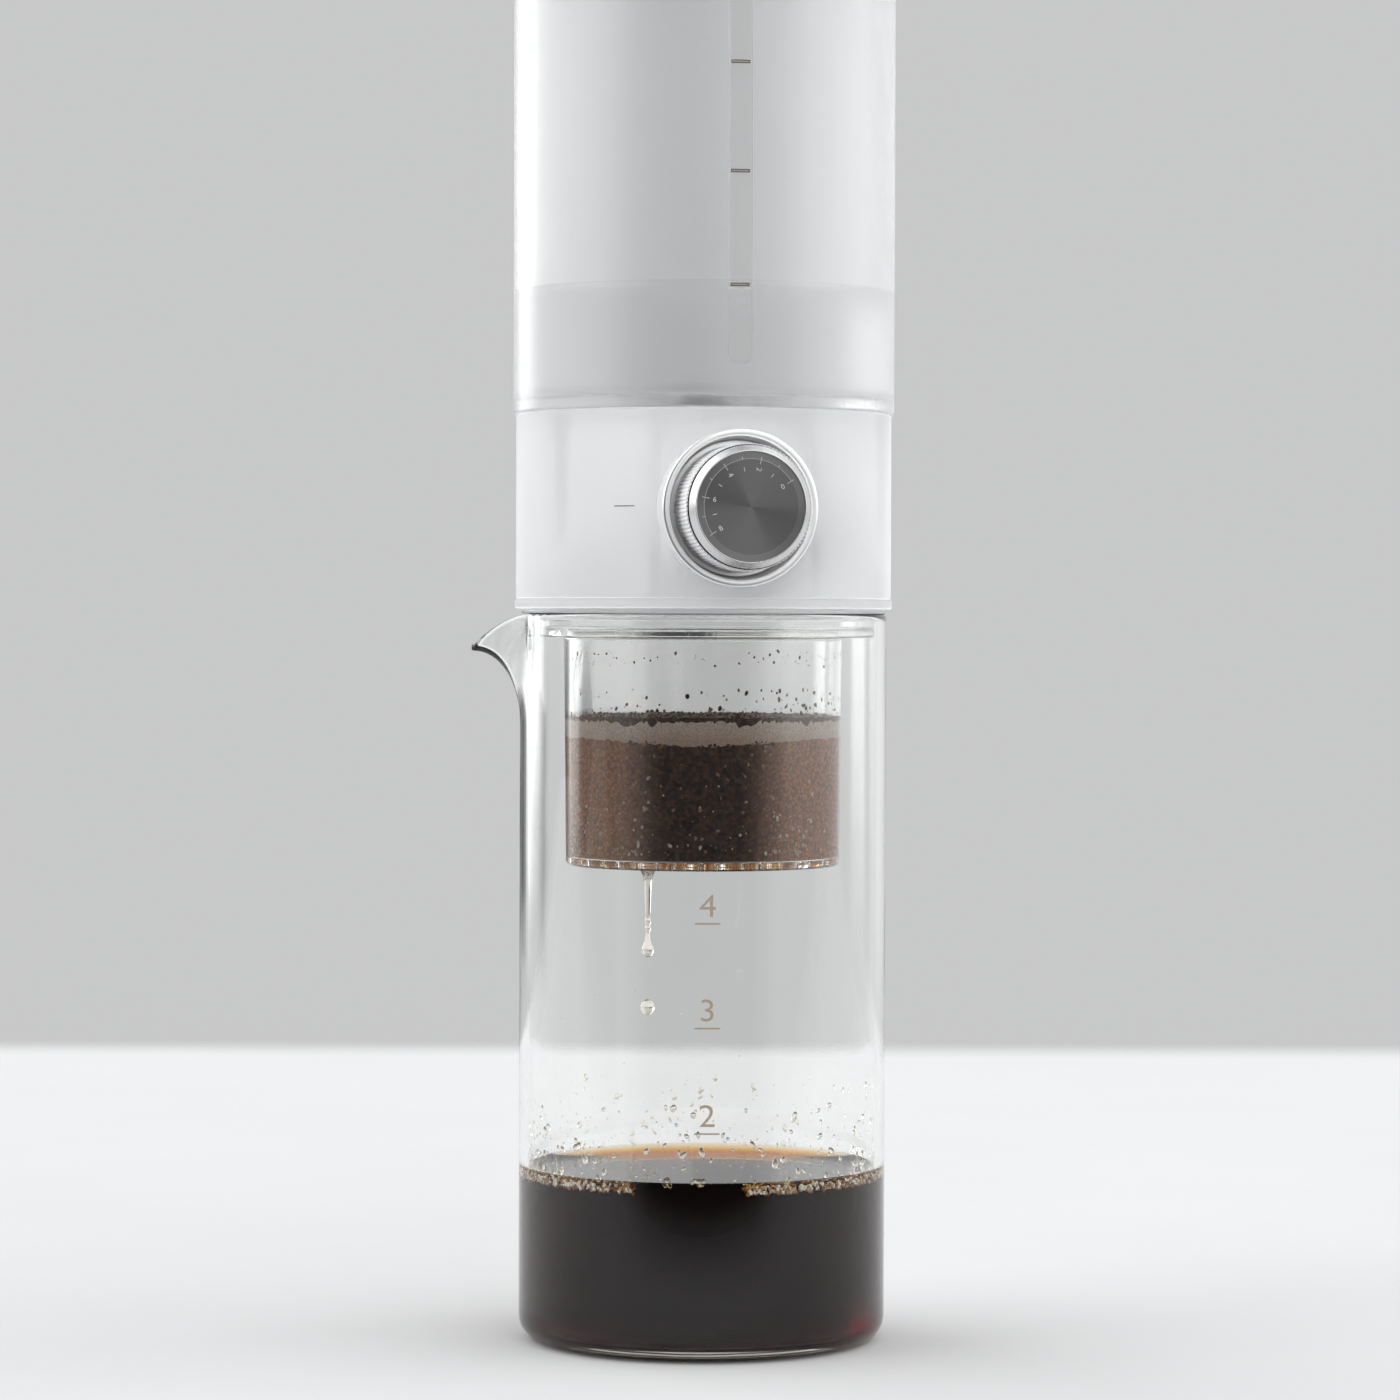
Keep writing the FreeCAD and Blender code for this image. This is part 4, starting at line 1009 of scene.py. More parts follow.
class Print:
    """Flat ink shapes, drawn with X to the right and Y up, and laid on a surface in the end."""

    def __init__(self):
        self.work = bmesh.new()

    def placed(self, x, y, turn, width, height):
        """The matrix that puts a shape of unit size in its place."""
        return (Matrix.Translation((x, y, 0)) @ Matrix.Rotation(turn, 4, "Z")
                @ Matrix.Diagonal((width, height, INK, 1)))

    def bar(self, x, y, width, height, turn=0.0):
        """A bar centred on a place."""
        bmesh.ops.create_cube(self.work, size=1.0, matrix=self.placed(x, y, turn, width, height))

    def text(self, text, x, y, height, turn=0.0, widening=1.0, weight=0.0):
        """A number centred on a place."""
        curve = bpy.data.curves.new("number", "FONT")
        curve.body = text
        curve.extrude = 0.5
        curve.offset = weight
        curve.resolution_u = 5
        holder = linked("number", curve)
        mesh = evaluated_mesh(holder)
        bpy.data.objects.remove(holder)
        xs = [v.co.x for v in mesh.vertices]
        ys = [v.co.y for v in mesh.vertices]
        scale = height / (max(ys) - min(ys))
        centre = Vector(((max(xs) + min(xs)) / 2, (max(ys) + min(ys)) / 2, 0))
        mesh.transform(self.placed(x, y, turn, scale * widening, scale) @ Matrix.Translation(-centre))
        self.work.from_mesh(mesh)

    def arc(self, radius, width, start, end, steps=48):
        """A thin arc round the origin, with its angles in radians."""
        for k in range(steps):
            angle = start + (end - start) * (k + 0.5) / steps
            length = radius * (end - start) / steps * 1.02
            self.bar(radius * math.cos(angle), radius * math.sin(angle), width, length, angle)

    def laid(self, name, material, place, pitch=None):
        """The print as a piece, each point put in place by a function; pitch cuts it to follow a curve."""
        bmesh.ops.remove_doubles(self.work, verts=self.work.verts, dist=2e-7)
        if pitch:
            left = min(v.co.x for v in self.work.verts)
            right = max(v.co.x for v in self.work.verts)
            for k in range(1, int((right - left) / pitch) + 1):
                cut = self.work.verts[:] + self.work.edges[:] + self.work.faces[:]
                bmesh.ops.bisect_plane(self.work, geom=cut, dist=1e-9, plane_co=(left + k * pitch, 0, 0),
                                       plane_no=(1, 0, 0))
        for vertex in self.work.verts:
            vertex.co = place(vertex.co)
        mesh = bpy.data.meshes.new(name)
        self.work.to_mesh(mesh)
        self.work.free()
        return finished(name, mesh, material)


def round_wall(radius, azimuth, height):
    """Lays a print on an upright round wall, centred on an azimuth from the front towards +X."""
    def place(point):
        angle = azimuth + point.x / radius
        reach = radius + point.z + INK_RISE
        return Vector((reach * math.sin(angle), -reach * math.cos(angle), height + point.y))
    return place


# Carafe

WALL_TOP = CARAFE_TOP - RIM_RISE


def lip_share(y, x):
    """How much of the lip is at a place on the rim: 1 at its tip, 0 past its sides."""
    if x > 0:
        return 0.0
    aside = math.sqrt(y * y + LIP_BLUNTNESS ** 2) - LIP_BLUNTNESS
    return max(0.0, 1 - aside / LIP_SPREAD) ** 1.5


def carafe_outside(angle, height):
    """A point on the carafe's outer wall, with the pouring lip pulled out of it."""
    x, y = CARAFE_RADIUS * math.cos(angle), CARAFE_RADIUS * math.sin(angle)
    if height <= LIP_START:
        return Vector((x, y, height))
    share = lip_share(y, x)
    climb = (height - LIP_START) / (WALL_TOP - LIP_START)
    swing = climb * math.pi / 2
    pull = (LIP_REACH - CARAFE_RADIUS - RIM_RISE) * share * (1 - math.cos(swing))
    rise = WALL_TOP - LIP_START - LIP_DROP * share ** 1.5
    eased = climb + share * (math.sin(swing) - climb)
    return Vector((x - pull, y, LIP_START + rise * eased))


def carafe_directions(angle, height):
    """Directions out of the outer wall and up along it."""
    d = 1e-4
    across = carafe_outside(angle + d, height) - carafe_outside(angle - d, height)
    lower, upper = max(height - d, CARAFE_CORNER), min(height + d, WALL_TOP)
    along = carafe_outside(angle, upper) - carafe_outside(angle, lower)
    return across.cross(along).normalized(), along.normalized()


def carafe_angles():
    """Directions round the carafe, closer together at the lip."""
    angles = []
    angle = -math.pi + LIP_HALF_ANGLE
    while angle < math.pi - LIP_HALF_ANGLE - WALL_PITCH / 2:
        angles.append(angle)
        angle += WALL_PITCH
    angle = math.pi - LIP_HALF_ANGLE
    while angle < math.pi + LIP_HALF_ANGLE - LIP_PITCH / 2:
        angles.append(angle)
        angle += LIP_PITCH
    return angles


def carafe_rim(angle, swing):
    """A point on the fire-polished rim, from its outside at 0 to its inside at pi."""
    normal, along = carafe_directions(angle, WALL_TOP)
    edge = carafe_outside(angle, WALL_TOP)
    wall = CARAFE_WALL - LIP_THINNING * lip_share(edge.y, edge.x)
    return edge - normal * wall * (1 - math.cos(swing)) / 2 + along * RIM_RISE * math.sin(swing) ** 0.7


def carafe_inside(angle, height):
    """A point on the inner wall, which is thinner at the lip."""
    point = carafe_outside(angle, height)
    climb = max(0.0, (height - LIP_START) / (WALL_TOP - LIP_START))
    wall = CARAFE_WALL - LIP_THINNING * lip_share(point.y, point.x) * climb
    return point - carafe_directions(angle, height)[0] * wall


def make_carafe():
    angles = carafe_angles()
    bottom = rounded([
        (0, CARAFE_PUNT, 0), (CARAFE_RADIUS * 0.72, CARAFE_PUNT, 0), (CARAFE_RADIUS * 0.8, 0, 0),
        (CARAFE_RADIUS, 0, CARAFE_CORNER), (CARAFE_RADIUS, CARAFE_CORNER * 1.2, 0),
    ], closed=False)
    inner = rounded([
        (CARAFE_BORE, CARAFE_CORNER * 1.6, 0), (CARAFE_BORE, CARAFE_FLOOR, CARAFE_INNER_CORNER),
        (0, CARAFE_FLOOR, 0),
    ], closed=False)
    plain = [LIP_START * k / 12 for k in range(1, 13)]
    lip = [LIP_START + (WALL_TOP - LIP_START) * k / 22 for k in range(1, 23)]
    heights = [h for h in plain if h > CARAFE_CORNER * 1.6] + lip
    floors = [[[Vector((r * math.cos(a), r * math.sin(a), z)) for a in angles] for r, z in outline]
              for outline in (bottom, inner)]
    rows = floors[0] + [[carafe_outside(a, h) for a in angles] for h in heights]
    rows += [[carafe_rim(a, math.pi * k / RIM_STEPS) for a in angles] for k in range(1, RIM_STEPS)]
    rows += [[carafe_inside(a, h) for a in angles] for h in reversed(heights)] + floors[1]
    seat(skinned("glass_carafe", rows, GLASS, 40.0), "carafe", "clear_glass", "carafe")


def make_cup_marks():
    """The printed cup numbers, each over the line that it stands for."""
    marks = []
    for number, height in CUP_MARKS:
        ink = Print()
        ink.bar(0, 0, *MARK_LINE)
        ink.text(number, 0, NUMBER_RISE + NUMBER_HEIGHT / 2, NUMBER_HEIGHT, widening=1.12, weight=-0.004)
        place = round_wall(CARAFE_RADIUS, CUP_MARK_TURN, height)
        marks.append(ink.laid("cup_mark", GOLD_INK, place, PRINT_PITCH))
    seat(joined("cup_marks", marks), "carafe", "clear_glass")


# Coffee container and gasket

def container_bore(z):
    """Inner radius of the container's body at a height."""
    share = (z - CONTAINER_FLOOR) / (PLATE_LOW - CONTAINER_FLOOR)
    return BODY_LOW_RADIUS - BODY_WALL + share * (BODY_TOP_RADIUS - BODY_LOW_RADIUS)


def drain_places():
    """Centres of the drain holes, the middle one first."""
    places = [(0.0, 0.0)]
    for reach, count in DRAIN_RINGS:
        for i in range(count):
            angle = DRAIN_PHASE + FULL_TURN * i / count
            places.append((reach * math.cos(angle), reach * math.sin(angle)))
    return places


def drain_plugs(name, radius, lower, upper, material):
    """One upright cylinder in each drain."""
    work = bmesh.new()
    for x, y in drain_places():
        bmesh.ops.create_cone(work, cap_ends=True, segments=32, radius1=radius, radius2=radius,
                              depth=upper - lower, matrix=Matrix.Translation((x, y, (lower + upper) / 2)))
    mesh = bpy.data.meshes.new(name)
    work.to_mesh(mesh)
    work.free()
    return finished(name, mesh, material)


def make_container():
    cup = turned("clear_container", [
        (0, CONTAINER_LOW, 0),
        (BODY_LOW_RADIUS, CONTAINER_LOW, 1.0 * MM),
        (BODY_TOP_RADIUS, SKIRT_LOW, 0.6 * MM),
        (SKIRT_RADIUS, SKIRT_LOW, 0.6 * MM),
        (SKIRT_RADIUS, FLANGE_LOW, 0.3 * MM),
        (FLANGE_RADIUS, FLANGE_LOW, 0.4 * MM),
        (FLANGE_RADIUS, CONTAINER_TOP, 0.4 * MM),
        (SKIRT_BORE, CONTAINER_TOP, 0.4 * MM),
        (SKIRT_BORE, SHOULDER_TOP, 0.5 * MM),
        (PLATE_SEAT_RADIUS, SHOULDER_TOP, 0.2 * MM),
        (PLATE_SEAT_RADIUS, PLATE_LOW, 0),
        (BODY_TOP_RADIUS - BODY_WALL, PLATE_LOW, 0.2 * MM),
        (BODY_LOW_RADIUS - BODY_WALL, CONTAINER_FLOOR, 0.4 * MM),
        (0, CONTAINER_FLOOR, 0),
    ], PLASTIC)
    past = 2 * MM
    drains = drain_plugs("drain_tool", DRAIN_RADIUS, CONTAINER_LOW - past, CONTAINER_FLOOR + past, PLASTIC)
    seat(carve(cup, drains), "container", "clear_plastic", "coffee_container")


def make_gasket():
    lower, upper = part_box("container_gasket")
    bore = SKIRT_RADIUS + 0.1 * MM
    ring = turned("silicone_gasket", [
        (bore, lower.z, 0.3 * MM), (upper.x, lower.z, 0.5 * MM), (upper.x, upper.z, 0.5 * MM),
        (bore, upper.z, 0.3 * MM),
    ], SILICONE)
    seat(ring, "container", "clear_silicone", "container_gasket")


# Tank, collar and knob

def make_tank():
    vessel = turned("frosted_tank", [
        (TANK_HOLE, TANK_LOW, 0.2 * MM),
        (TANK_SPIGOT_BORE, TANK_LOW, 0.3 * MM),
        (TANK_SPIGOT_BORE, TANK_SPIGOT_LOW, 0.4 * MM),
        (TANK_SPIGOT_RADIUS, TANK_SPIGOT_LOW, 0.4 * MM),
        (TANK_SPIGOT_RADIUS, TANK_LOW, 0.2 * MM),
        (TANK_RADIUS, TANK_LOW, 0.6 * MM),
        (TANK_RADIUS, TANK_RIM, 0.9 * MM),
        (TANK_BORE, TANK_RIM, 0.9 * MM),
        (TANK_BORE, TANK_FLOOR, TANK_INNER_CORNER),
        (TANK_HOLE, TANK_FLOOR, 0.2 * MM),
    ], FROSTED, FINE_SEGMENTS)
    seat(vessel, "tank", "frosted_plastic", "tank_vessel")


def make_tank_marks():
    """The gauge marks on the clear strip, dark lines round a lighter bar, and the collar's index line."""
    frames, bars = [], []
    width, height = GAUGE_MARK
    for z in GAUGE_MARKS:
        place = round_wall(TANK_RADIUS, KNOB_TURN - GAUGE_SHIFT / TANK_RADIUS, z)
        frame_ink, bar_ink = Print(), Print()
        for side in (-1, 1):
            frame_ink.bar(0, side * (height - GAUGE_LINE) / 2, width, GAUGE_LINE)
            frame_ink.bar(side * (width - GAUGE_LINE) / 2, 0, GAUGE_LINE, height - 2 * GAUGE_LINE)
        bar_ink.bar(0, 0, width - 2 * GAUGE_LINE, height - 2 * GAUGE_LINE)
        frames.append(frame_ink.laid("gauge_frame", DARK_INK, place, PRINT_PITCH))
        bars.append(bar_ink.laid("gauge_bar", TAN_INK, place, PRINT_PITCH))
    index = Print()
    index.bar(0, 0, *INDEX_LINE)
    place = round_wall(COLLAR_RADIUS, INDEX_TURN, KNOB_HEIGHT + INDEX_RISE)
    line = index.laid("index_line", GREY_INK, place, PRINT_PITCH)
    seat(joined("gauge_frames", frames), "tank", "frosted_plastic")
    seat(joined("gauge_bars", bars), "tank", "frosted_plastic")
    seat(line, "tank", "collar_plastic")


def make_escutcheon():
    """The dished ring, cut on its back to the collar's round wall outside the knob's well."""
    ring = turned("dished_ring", [
        (RING_HOLE, WELL_FACE, 0),
        (RING_FOOT_RADIUS, WELL_FACE, 0),
        (RING_CREST_RADII[0], RING_TOP, 0.7 * MM),
        (RING_CREST_RADII[1], RING_TOP, 0.7 * MM),
        (RING_DISH_RADIUS, RING_FACE, 0.5 * MM),
        (RING_HOLE, RING_FACE, 0),
    ], POLISHED, FINE_SEGMENTS, turn=KNOB_FRAME)
    housing = turned("housing_tool", slab(COLLAR_LOW, COLLAR_TOP, COLLAR_RADIUS), POLISHED, FINE_SEGMENTS)
    kept = turned("kept_tool", slab(30 * MM, 60 * MM, WELL_RADIUS - 0.2 * MM), POLISHED, FINE_SEGMENTS,
                  turn=KNOB_FRAME)
    seat(carve(ring, carve(housing, kept)), "tank", "polished_metal", "escutcheon")


def make_knob():
    grip_radius = KNOB_RADIUS - KNURL_DEPTH
    body = turned("knob_body", [
        (KNOB_BORE, KNOB_BACK, 0.3 * MM),
        (grip_radius, KNOB_BACK, 0.4 * MM),
        (grip_radius, GROOVE_LOW, 0.1 * MM),
        (GROOVE_RADIUS, GROOVE_LOW, 0),
        (GROOVE_RADIUS, BEZEL_LOW, 0),
        (BEZEL_RADII[0], BEZEL_LOW, 0.15 * MM),
        (BEZEL_RADII[1], KNOB_FACE, 0.15 * MM),
        (BEZEL_RADII[2], KNOB_FACE, 0.08 * MM),
        (BEZEL_RADII[2], DIAL_LOW, 0),
        (0, DIAL_LOW, 0),
        (0, CORE_FRONT, 0),
        (KNOB_BORE, CORE_FRONT, 0),
    ], KNOB_METAL, FINE_SEGMENTS, turn=KNOB_FRAME)
    seat(body, "knob", "knob_metal", "knob_shell")


def make_knurl():
    """The straight knurl: ridges round the knob's side, from its back to its groove."""
    lower, upper = KNOB_BACK + 0.4 * MM, GROOVE_LOW - 0.15 * MM
    growth = Growth("knurl", {
        "Ridges": KNURL_RIDGES, "Radius": KNOB_RADIUS - KNURL_DEPTH, "Half width": KNURL_HALF_WIDTH,
        "Depth": KNURL_DEPTH, "Length": upper - lower, "Middle": (lower + upper) / 2,
    })
    size = growth.size
    ring = growth.flow("GeometryNodeMeshCircle", Vertices=size("Ridges"), Radius=size("Radius"))
    angle = growth.flow("GeometryNodeInputIndex") * (FULL_TURN / size("Ridges"))
    ridge = growth.flow("GeometryNodeMeshCylinder", Vertices=6, Radius=size("Half width"),
                        Depth=size("Length"))
    ridges = growth.flow("GeometryNodeInstanceOnPoints", Points=ring, Instance=ridge,
                         Rotation=growth.vector(0.0, 0.0, angle),
                         Scale=growth.vector(size("Depth") / size("Half width"), 1.0, 1.0))
    raised = growth.flow("GeometryNodeTransform", Geometry=ridges,
                         Translation=growth.vector(0.0, 0.0, size("Middle")))
    mesh = growth.grown(raised, KNOB_METAL)
    mesh.transform(KNOB_FRAME)
    seat(finished("knob_knurl", mesh, KNOB_METAL, 70.0), "knob", "knob_metal")


def make_dial():
    """The spun disc, with a UV map whose U runs round its centre and V out from it."""
    rings = 14
    outline = [(DIAL_RADIUS * i / rings, DIAL_TOP) for i in range(rings + 1)]
    outline += [(DIAL_RADIUS, DIAL_LOW), (0, DIAL_LOW)]
    disc = finished("spun_dial", lathe_mesh("spun_dial", outline, 160, False, KNOB_FRAME), DIAL)
    layer = disc.data.uv_layers.new(name="spin")
    inverse = KNOB_FRAME.inverted()
    for polygon in disc.data.polygons:
        centre = inverse @ polygon.center
        around = math.atan2(centre.y, centre.x)
        for loop in polygon.loop_indices:
            place = inverse @ disc.data.vertices[disc.data.loops[loop].vertex_index].co
            reach = math.hypot(place.x, place.y)
            angle = math.atan2(place.y, place.x) if reach > 1e-7 else around
            angle += FULL_TURN * round((around - angle) / FULL_TURN)
            layer.data[loop].uv = (angle / FULL_TURN, reach / DIAL_RADIUS)
    seat(disc, "knob", "dial_metal", "knob_dial")


def make_dial_scale():
    """The dial's plain numbers and strokes, printed on its face."""
    ink = Print()
    for k in range(DIAL_STEPS):
        angle = DIAL_FIRST + k * DIAL_STEP
        across, up = math.cos(angle), math.sin(angle)
        if k % 2 == 0:
            ink.text(str(k), NUMBER_RING * across, NUMBER_RING * up, 1.25 * MM, angle - math.pi)
            middle, length = SCALE_RING - 0.2 * MM, 1.8 * MM
        else:
            ink.bar(NUMBER_RING * across, NUMBER_RING * up, 1.0 * MM, 0.16 * MM, angle)
            middle, length = SCALE_RING + 0.3 * MM, 0.7 * MM
        ink.bar(middle * across, middle * up, length, 0.14 * MM, angle)
    ink.arc(SCALE_RING, 0.07 * MM, DIAL_FIRST, DIAL_FIRST + (DIAL_STEPS - 1) * DIAL_STEP)
    printed = ink.laid("dial_scale", DIAL_INK,
                       lambda p: KNOB_FRAME @ Vector((p.x, p.y, DIAL_TOP + p.z + INK_RISE)))
    seat(printed, "knob", "dial_metal")


# Contents

def meniscus(bore, level):
    """Outline of a liquid's surface from the wall that it climbs to its flat middle."""
    steps = (0.0, 0.08, 0.2, 0.36, 0.56, 0.82, 1.15, 1.6, 2.2, 3.0, 4.0)
    return [(bore - s * MENISCUS_REACH, level + MENISCUS * math.exp(-s) * (s < 4), 0) for s in steps]


def make_brewed_coffee():
    bore = CARAFE_BORE + PRESSED
    floor = CARAFE_FLOOR - PRESSED
    body = turned("brewed_coffee", [(0, floor, 0), (bore, floor, CARAFE_INNER_CORNER)]
                  + meniscus(bore, COFFEE_LEVEL) + [(0, COFFEE_LEVEL, 0)], COFFEE, FINE_SEGMENTS, sharp=65.0)
    seat(body, "carafe", "clear_glass")


def make_tank_water():
    """The water, with room for the strainer in the middle of its underside."""
    bore = TANK_BORE + PRESSED
    floor = TANK_FLOOR - PRESSED
    bay_radius, bay_height = STRAINER_BAY
    body = turned("tank_water", [(bay_radius, floor, 0), (bore, floor, TANK_INNER_CORNER)]
                  + meniscus(bore, WATER_LEVEL)
                  + [(0, WATER_LEVEL, 0), (0, floor + bay_height, 0), (bay_radius, floor + bay_height, 0)],
                  WATER, FINE_SEGMENTS, sharp=65.0)
    seat(body, "tank", "frosted_plastic")


def make_coffee_bubbles():
    """Small bubbles where the coffee's surface meets the glass, in two arcs at the front."""
    heights = (COFFEE_LEVEL - 1.5 * MM, COFFEE_LEVEL + 0.3 * MM)
    rafts = [
        sprinkled("raft", "bubble", BUBBLE, seed, count, arc, heights, CARAFE_BORE + 0.1 * MM,
                  (0.2 * MM, 0.58 * MM), depth=5.0 * MM, rarity=1.6, climb=1.0 * MM, sharp=40.0)
        for seed, count, arc in ((11, 430, (-175, -113)), (12, 470, (-76, -5)))
    ]
    seat(joined("coffee_bubbles", rafts), "carafe", "clear_glass")


ALL_ROUND = (-180, 180)


def make_condensation():
    """Drops of coffee spray on the inside of the carafe, crowded over the coffee."""
    layers = [
        sprinkled("spray", "drop", DROP_WATER, seed, count, ALL_ROUND,
                  (COFFEE_LEVEL + start, COFFEE_LEVEL + end), CARAFE_BORE - 0.012 * MM, sizes, crowding,
                  rarity=rarity, flatness=0.75, stretch=stretch, sharp=60.0)
        for seed, count, start, end, sizes, crowding, rarity, stretch in (
            (27, 420, MENISCUS, 21 * MM, (0.18 * MM, 0.85 * MM), 2.4, 3.0, 0.9),
            (22, 260, 3 * MM, 58 * MM, (0.06 * MM, 0.2 * MM), 1.8, 2.0, 0.3),
        )
    ]
    seat(joined("carafe_spray", layers), "carafe", "clear_glass")


def waves(x, y, layer, *sizes):
    """Noise at a place, summed over (height, cycles per metre) sizes."""
    place = Vector((x, y, layer))
    return sum(height * mesh_noise.noise(place * cycles) for height, cycles in sizes)


def bed_level(angle, x, y):
    """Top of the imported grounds, lower at the front, where the froth pushed in."""
    from_front = abs((angle - FRONT + math.pi) % FULL_TURN - math.pi)
    fall = max(0.0, 1 - from_front / BED_DIP_ANGLE)
    fall = fall * fall * (3 - 2 * fall)
    wave = waves(x, y, 0.0, (0.35 * MM, 160), (0.35 * MM, 640), (0.35 * MM, 1500))
    return BED_TOP - BED_DIP * fall + wave


def crust_low_level(angle, x, y):
    """Underside of the floating crust, with lumps that hang from it."""
    lumps = max(0.0, waves(x, y, 0.1, (1.0, 300)) - 0.05)
    return CRUST_LOW - 3.0 * MM * lumps + waves(x, y, 0.3, (0.45 * MM, 620), (0.35 * MM, 1700))


def crust_top_level(angle, x, y):
    """Top of the floating crust."""
    return CRUST_TOP + waves(x, y, 0.5, (0.3 * MM, 330))


def heap(name, material, slot, lower, upper, press):
    """A closed body of grounds that fills the container between two uneven levels."""
    count = 288
    shares = (0.0, 0.2, 0.4, 0.6, 0.78, 0.9, 0.97, 1.0)
    wall_steps = 6
    ends = []
    for level, order in ((lower, shares), (upper, shares[::-1])):
        rows = []
        for share in order:
            row = []
            for k in range(count):
                angle = FULL_TURN * k / count
                radius = container_bore(BED_TOP) * share
                z = level(angle, radius * math.cos(angle), radius * math.sin(angle))
                radius = (container_bore(z) + press) * share
                row.append(Vector((radius * math.cos(angle), radius * math.sin(angle), z)))
            rows.append(row)
        ends.append(rows)
    wall = []
    for k in range(1, wall_steps):
        row = []
        for foot, head in zip(ends[0][-1], ends[1][0]):
            point = foot.lerp(head, k / wall_steps)
            flat = Vector((point.x, point.y, 0)).normalized() * (container_bore(point.z) + press)
            row.append(Vector((flat.x, flat.y, point.z)))
        wall.append(row)
    seat(skinned(name, ends[0] + wall + ends[1], material, 50.0), "filter", slot)


def make_grounds():
    """The wet grounds on the filter, the froth over them and the crust that floats on it."""
    heap("coffee_bed", GROUNDS, "black_plastic", lambda a, x, y: FILTER_TOP - 1.2 * MM, bed_level, 0.03 * MM)
    heap("coffee_froth", FROTH, "white_plastic", lambda a, x, y: bed_level(a, x, y) - 0.5 * MM,
         lambda a, x, y: CRUST_LOW + 0.4 * MM, 0.015 * MM)
    heap("coffee_crust", CRUST, "black_plastic", crust_low_level, crust_top_level, 0.045 * MM)


def make_crust_grains():
    """Loose grains round the crust's edge and on its top."""
    wall = container_bore(CRUST_LOW)
    rim = sprinkled("crust_rim", "grain", CRUST, 31, 560, ALL_ROUND,
                    (CRUST_LOW - 0.2 * MM, CRUST_TOP + 0.1 * MM), wall, (0.15 * MM, 0.45 * MM), rarity=2.0,
                    flatness=0.35, stretch=0.3)
    top = sprinkled("crust_top", "grain", CRUST, 32, 420, ALL_ROUND,
                    (CRUST_TOP - 0.2 * MM, CRUST_TOP + 0.15 * MM), wall - 0.8 * MM, (0.2 * MM, 0.5 * MM),
                    depth=30 * MM, rarity=2.0, stretch=0.3)
    seat(joined("crust_grains", [rim, top]), "filter", "black_plastic")


def make_bed_grains():
    """Bright grains where the froth meets the bed, and pale flakes of chaff low in the bed."""
    wall = container_bore(BED_TOP) - 0.02 * MM
    glints = [
        sprinkled("glints", "grain", SPECK, seed, count, arc,
                  (BED_TOP - dip - 0.45 * MM, BED_TOP - dip + 0.35 * MM), wall, (0.1 * MM, 0.34 * MM),
                  rarity=1.8, flatness=0.5, stretch=0.7)
        for seed, count, arc, dip in (
            (33, 70, (-110, -70), BED_DIP * 0.95), (34, 24, (-122, -110), BED_DIP * 0.55),
            (35, 24, (-70, -58), BED_DIP * 0.55),
        )
    ]
    seat(joined("bed_glints", glints), "filter", "black_plastic")
    flakes = [
        sprinkled("flakes", "grain", CHAFF, seed, count, arc, (FILTER_TOP + 0.3 * MM, top),
                  container_bore(132 * MM) + 0.02 * MM, (0.12 * MM, 0.46 * MM), crowding=1.6, rarity=2.5,
                  flatness=0.5, stretch=0.8)
        for seed, count, arc, top in ((41, 240, ALL_ROUND, 143 * MM), (42, 70, (-62, -38), 132 * MM),
                                      (43, 70, (-165, -115), 134 * MM))
    ]
    seat(joined("chaff_flakes", flakes), "filter", "white_plastic")


def make_wall_specks():
    """Grains that the drops have thrown on the container's wall over the crust."""
    specks = [
        sprinkled("specks", "grain", SPECK, seed, count, ALL_ROUND, heights, container_bore(level) + sunk,
                  sizes, crowding, rarity=2.2, flatness=0.5, stretch=0.8)
        for seed, count, heights, level, sunk, sizes, crowding in (
            (51, 110, (CRUST_TOP + 0.2 * MM, CRUST_TOP + 7 * MM), CRUST_TOP + 6 * MM, 0.03 * MM,
             (0.14 * MM, 0.6 * MM), 1.7),
            (52, 70, (168.0 * MM, 171.8 * MM), 170 * MM, 0.02 * MM, (0.1 * MM, 0.4 * MM), 1.0),
        )
    ]
    seat(joined("wall_specks", specks), "container", "black_plastic")


def make_drips():
    """Coffee in and under the drains, the drip that hangs from one of them and the drop that has left it."""
    wet = drain_plugs("drain_coffee", DRAIN_RADIUS - 0.02 * MM, CONTAINER_LOW - 0.1 * MM, CONTAINER_FLOOR,
                      THIN_COFFEE)
    film = turned("floor_film", slab(CONTAINER_FLOOR + 0.02 * MM, FILM_TOP, FILM_RADIUS), THIN_COFFEE, 160)
    lower, upper = CONTAINER_FLOOR + 0.4 * MM, FILTER_TOP - 0.1 * MM
    seam = turned("seam_film", [
        (FILTER_FRAME_BORE, lower, 0), (container_bore(CONTAINER_FLOOR), lower, 0),
        (container_bore(FILTER_TOP), upper, 0), (FILTER_FRAME_BORE, upper, 0),
    ], THIN_COFFEE, 160)
    seat(joined("drain_coffee", [wet, film, seam]), "container", "clear_plastic")
    here = Matrix.Translation((*drain_places()[DRIP_DRAIN], 0))
    hanging = [(r * MM, z * MM) for r, z in DRIP_PROFILE]
    swings = [math.pi * k / DROP_STEPS for k in range(DROP_STEPS + 1)]
    falling = [(DROP_RADII[0] * math.sin(a), DROP_HEIGHT + DROP_RADII[1] * math.cos(a)) for a in swings]
    drips = [finished(name, lathe_mesh(name, outline, 40, False, here), DROP_WATER, sharp)
             for name, outline, sharp in (("hanging_drip", hanging, 50.0), ("falling_drop", falling, 60.0))]
    seat(joined("coffee_drips", drips), "container", "clear_plastic")


# Light, table and camera

def radians(angles):
    return [math.radians(a) for a in angles]


def panel(azimuth, elevation, sides, softness):
    """A soft-edged patch of the world between two azimuths and two elevations, in degrees."""
    left, right, lower, upper = radians(sides)
    soft = math.radians(softness)
    return (step(azimuth, left - soft, left + soft) * step(azimuth, right + soft, right - soft)
            * (step(elevation, lower - soft, lower + soft) * step(elevation, upper + soft, upper - soft)))


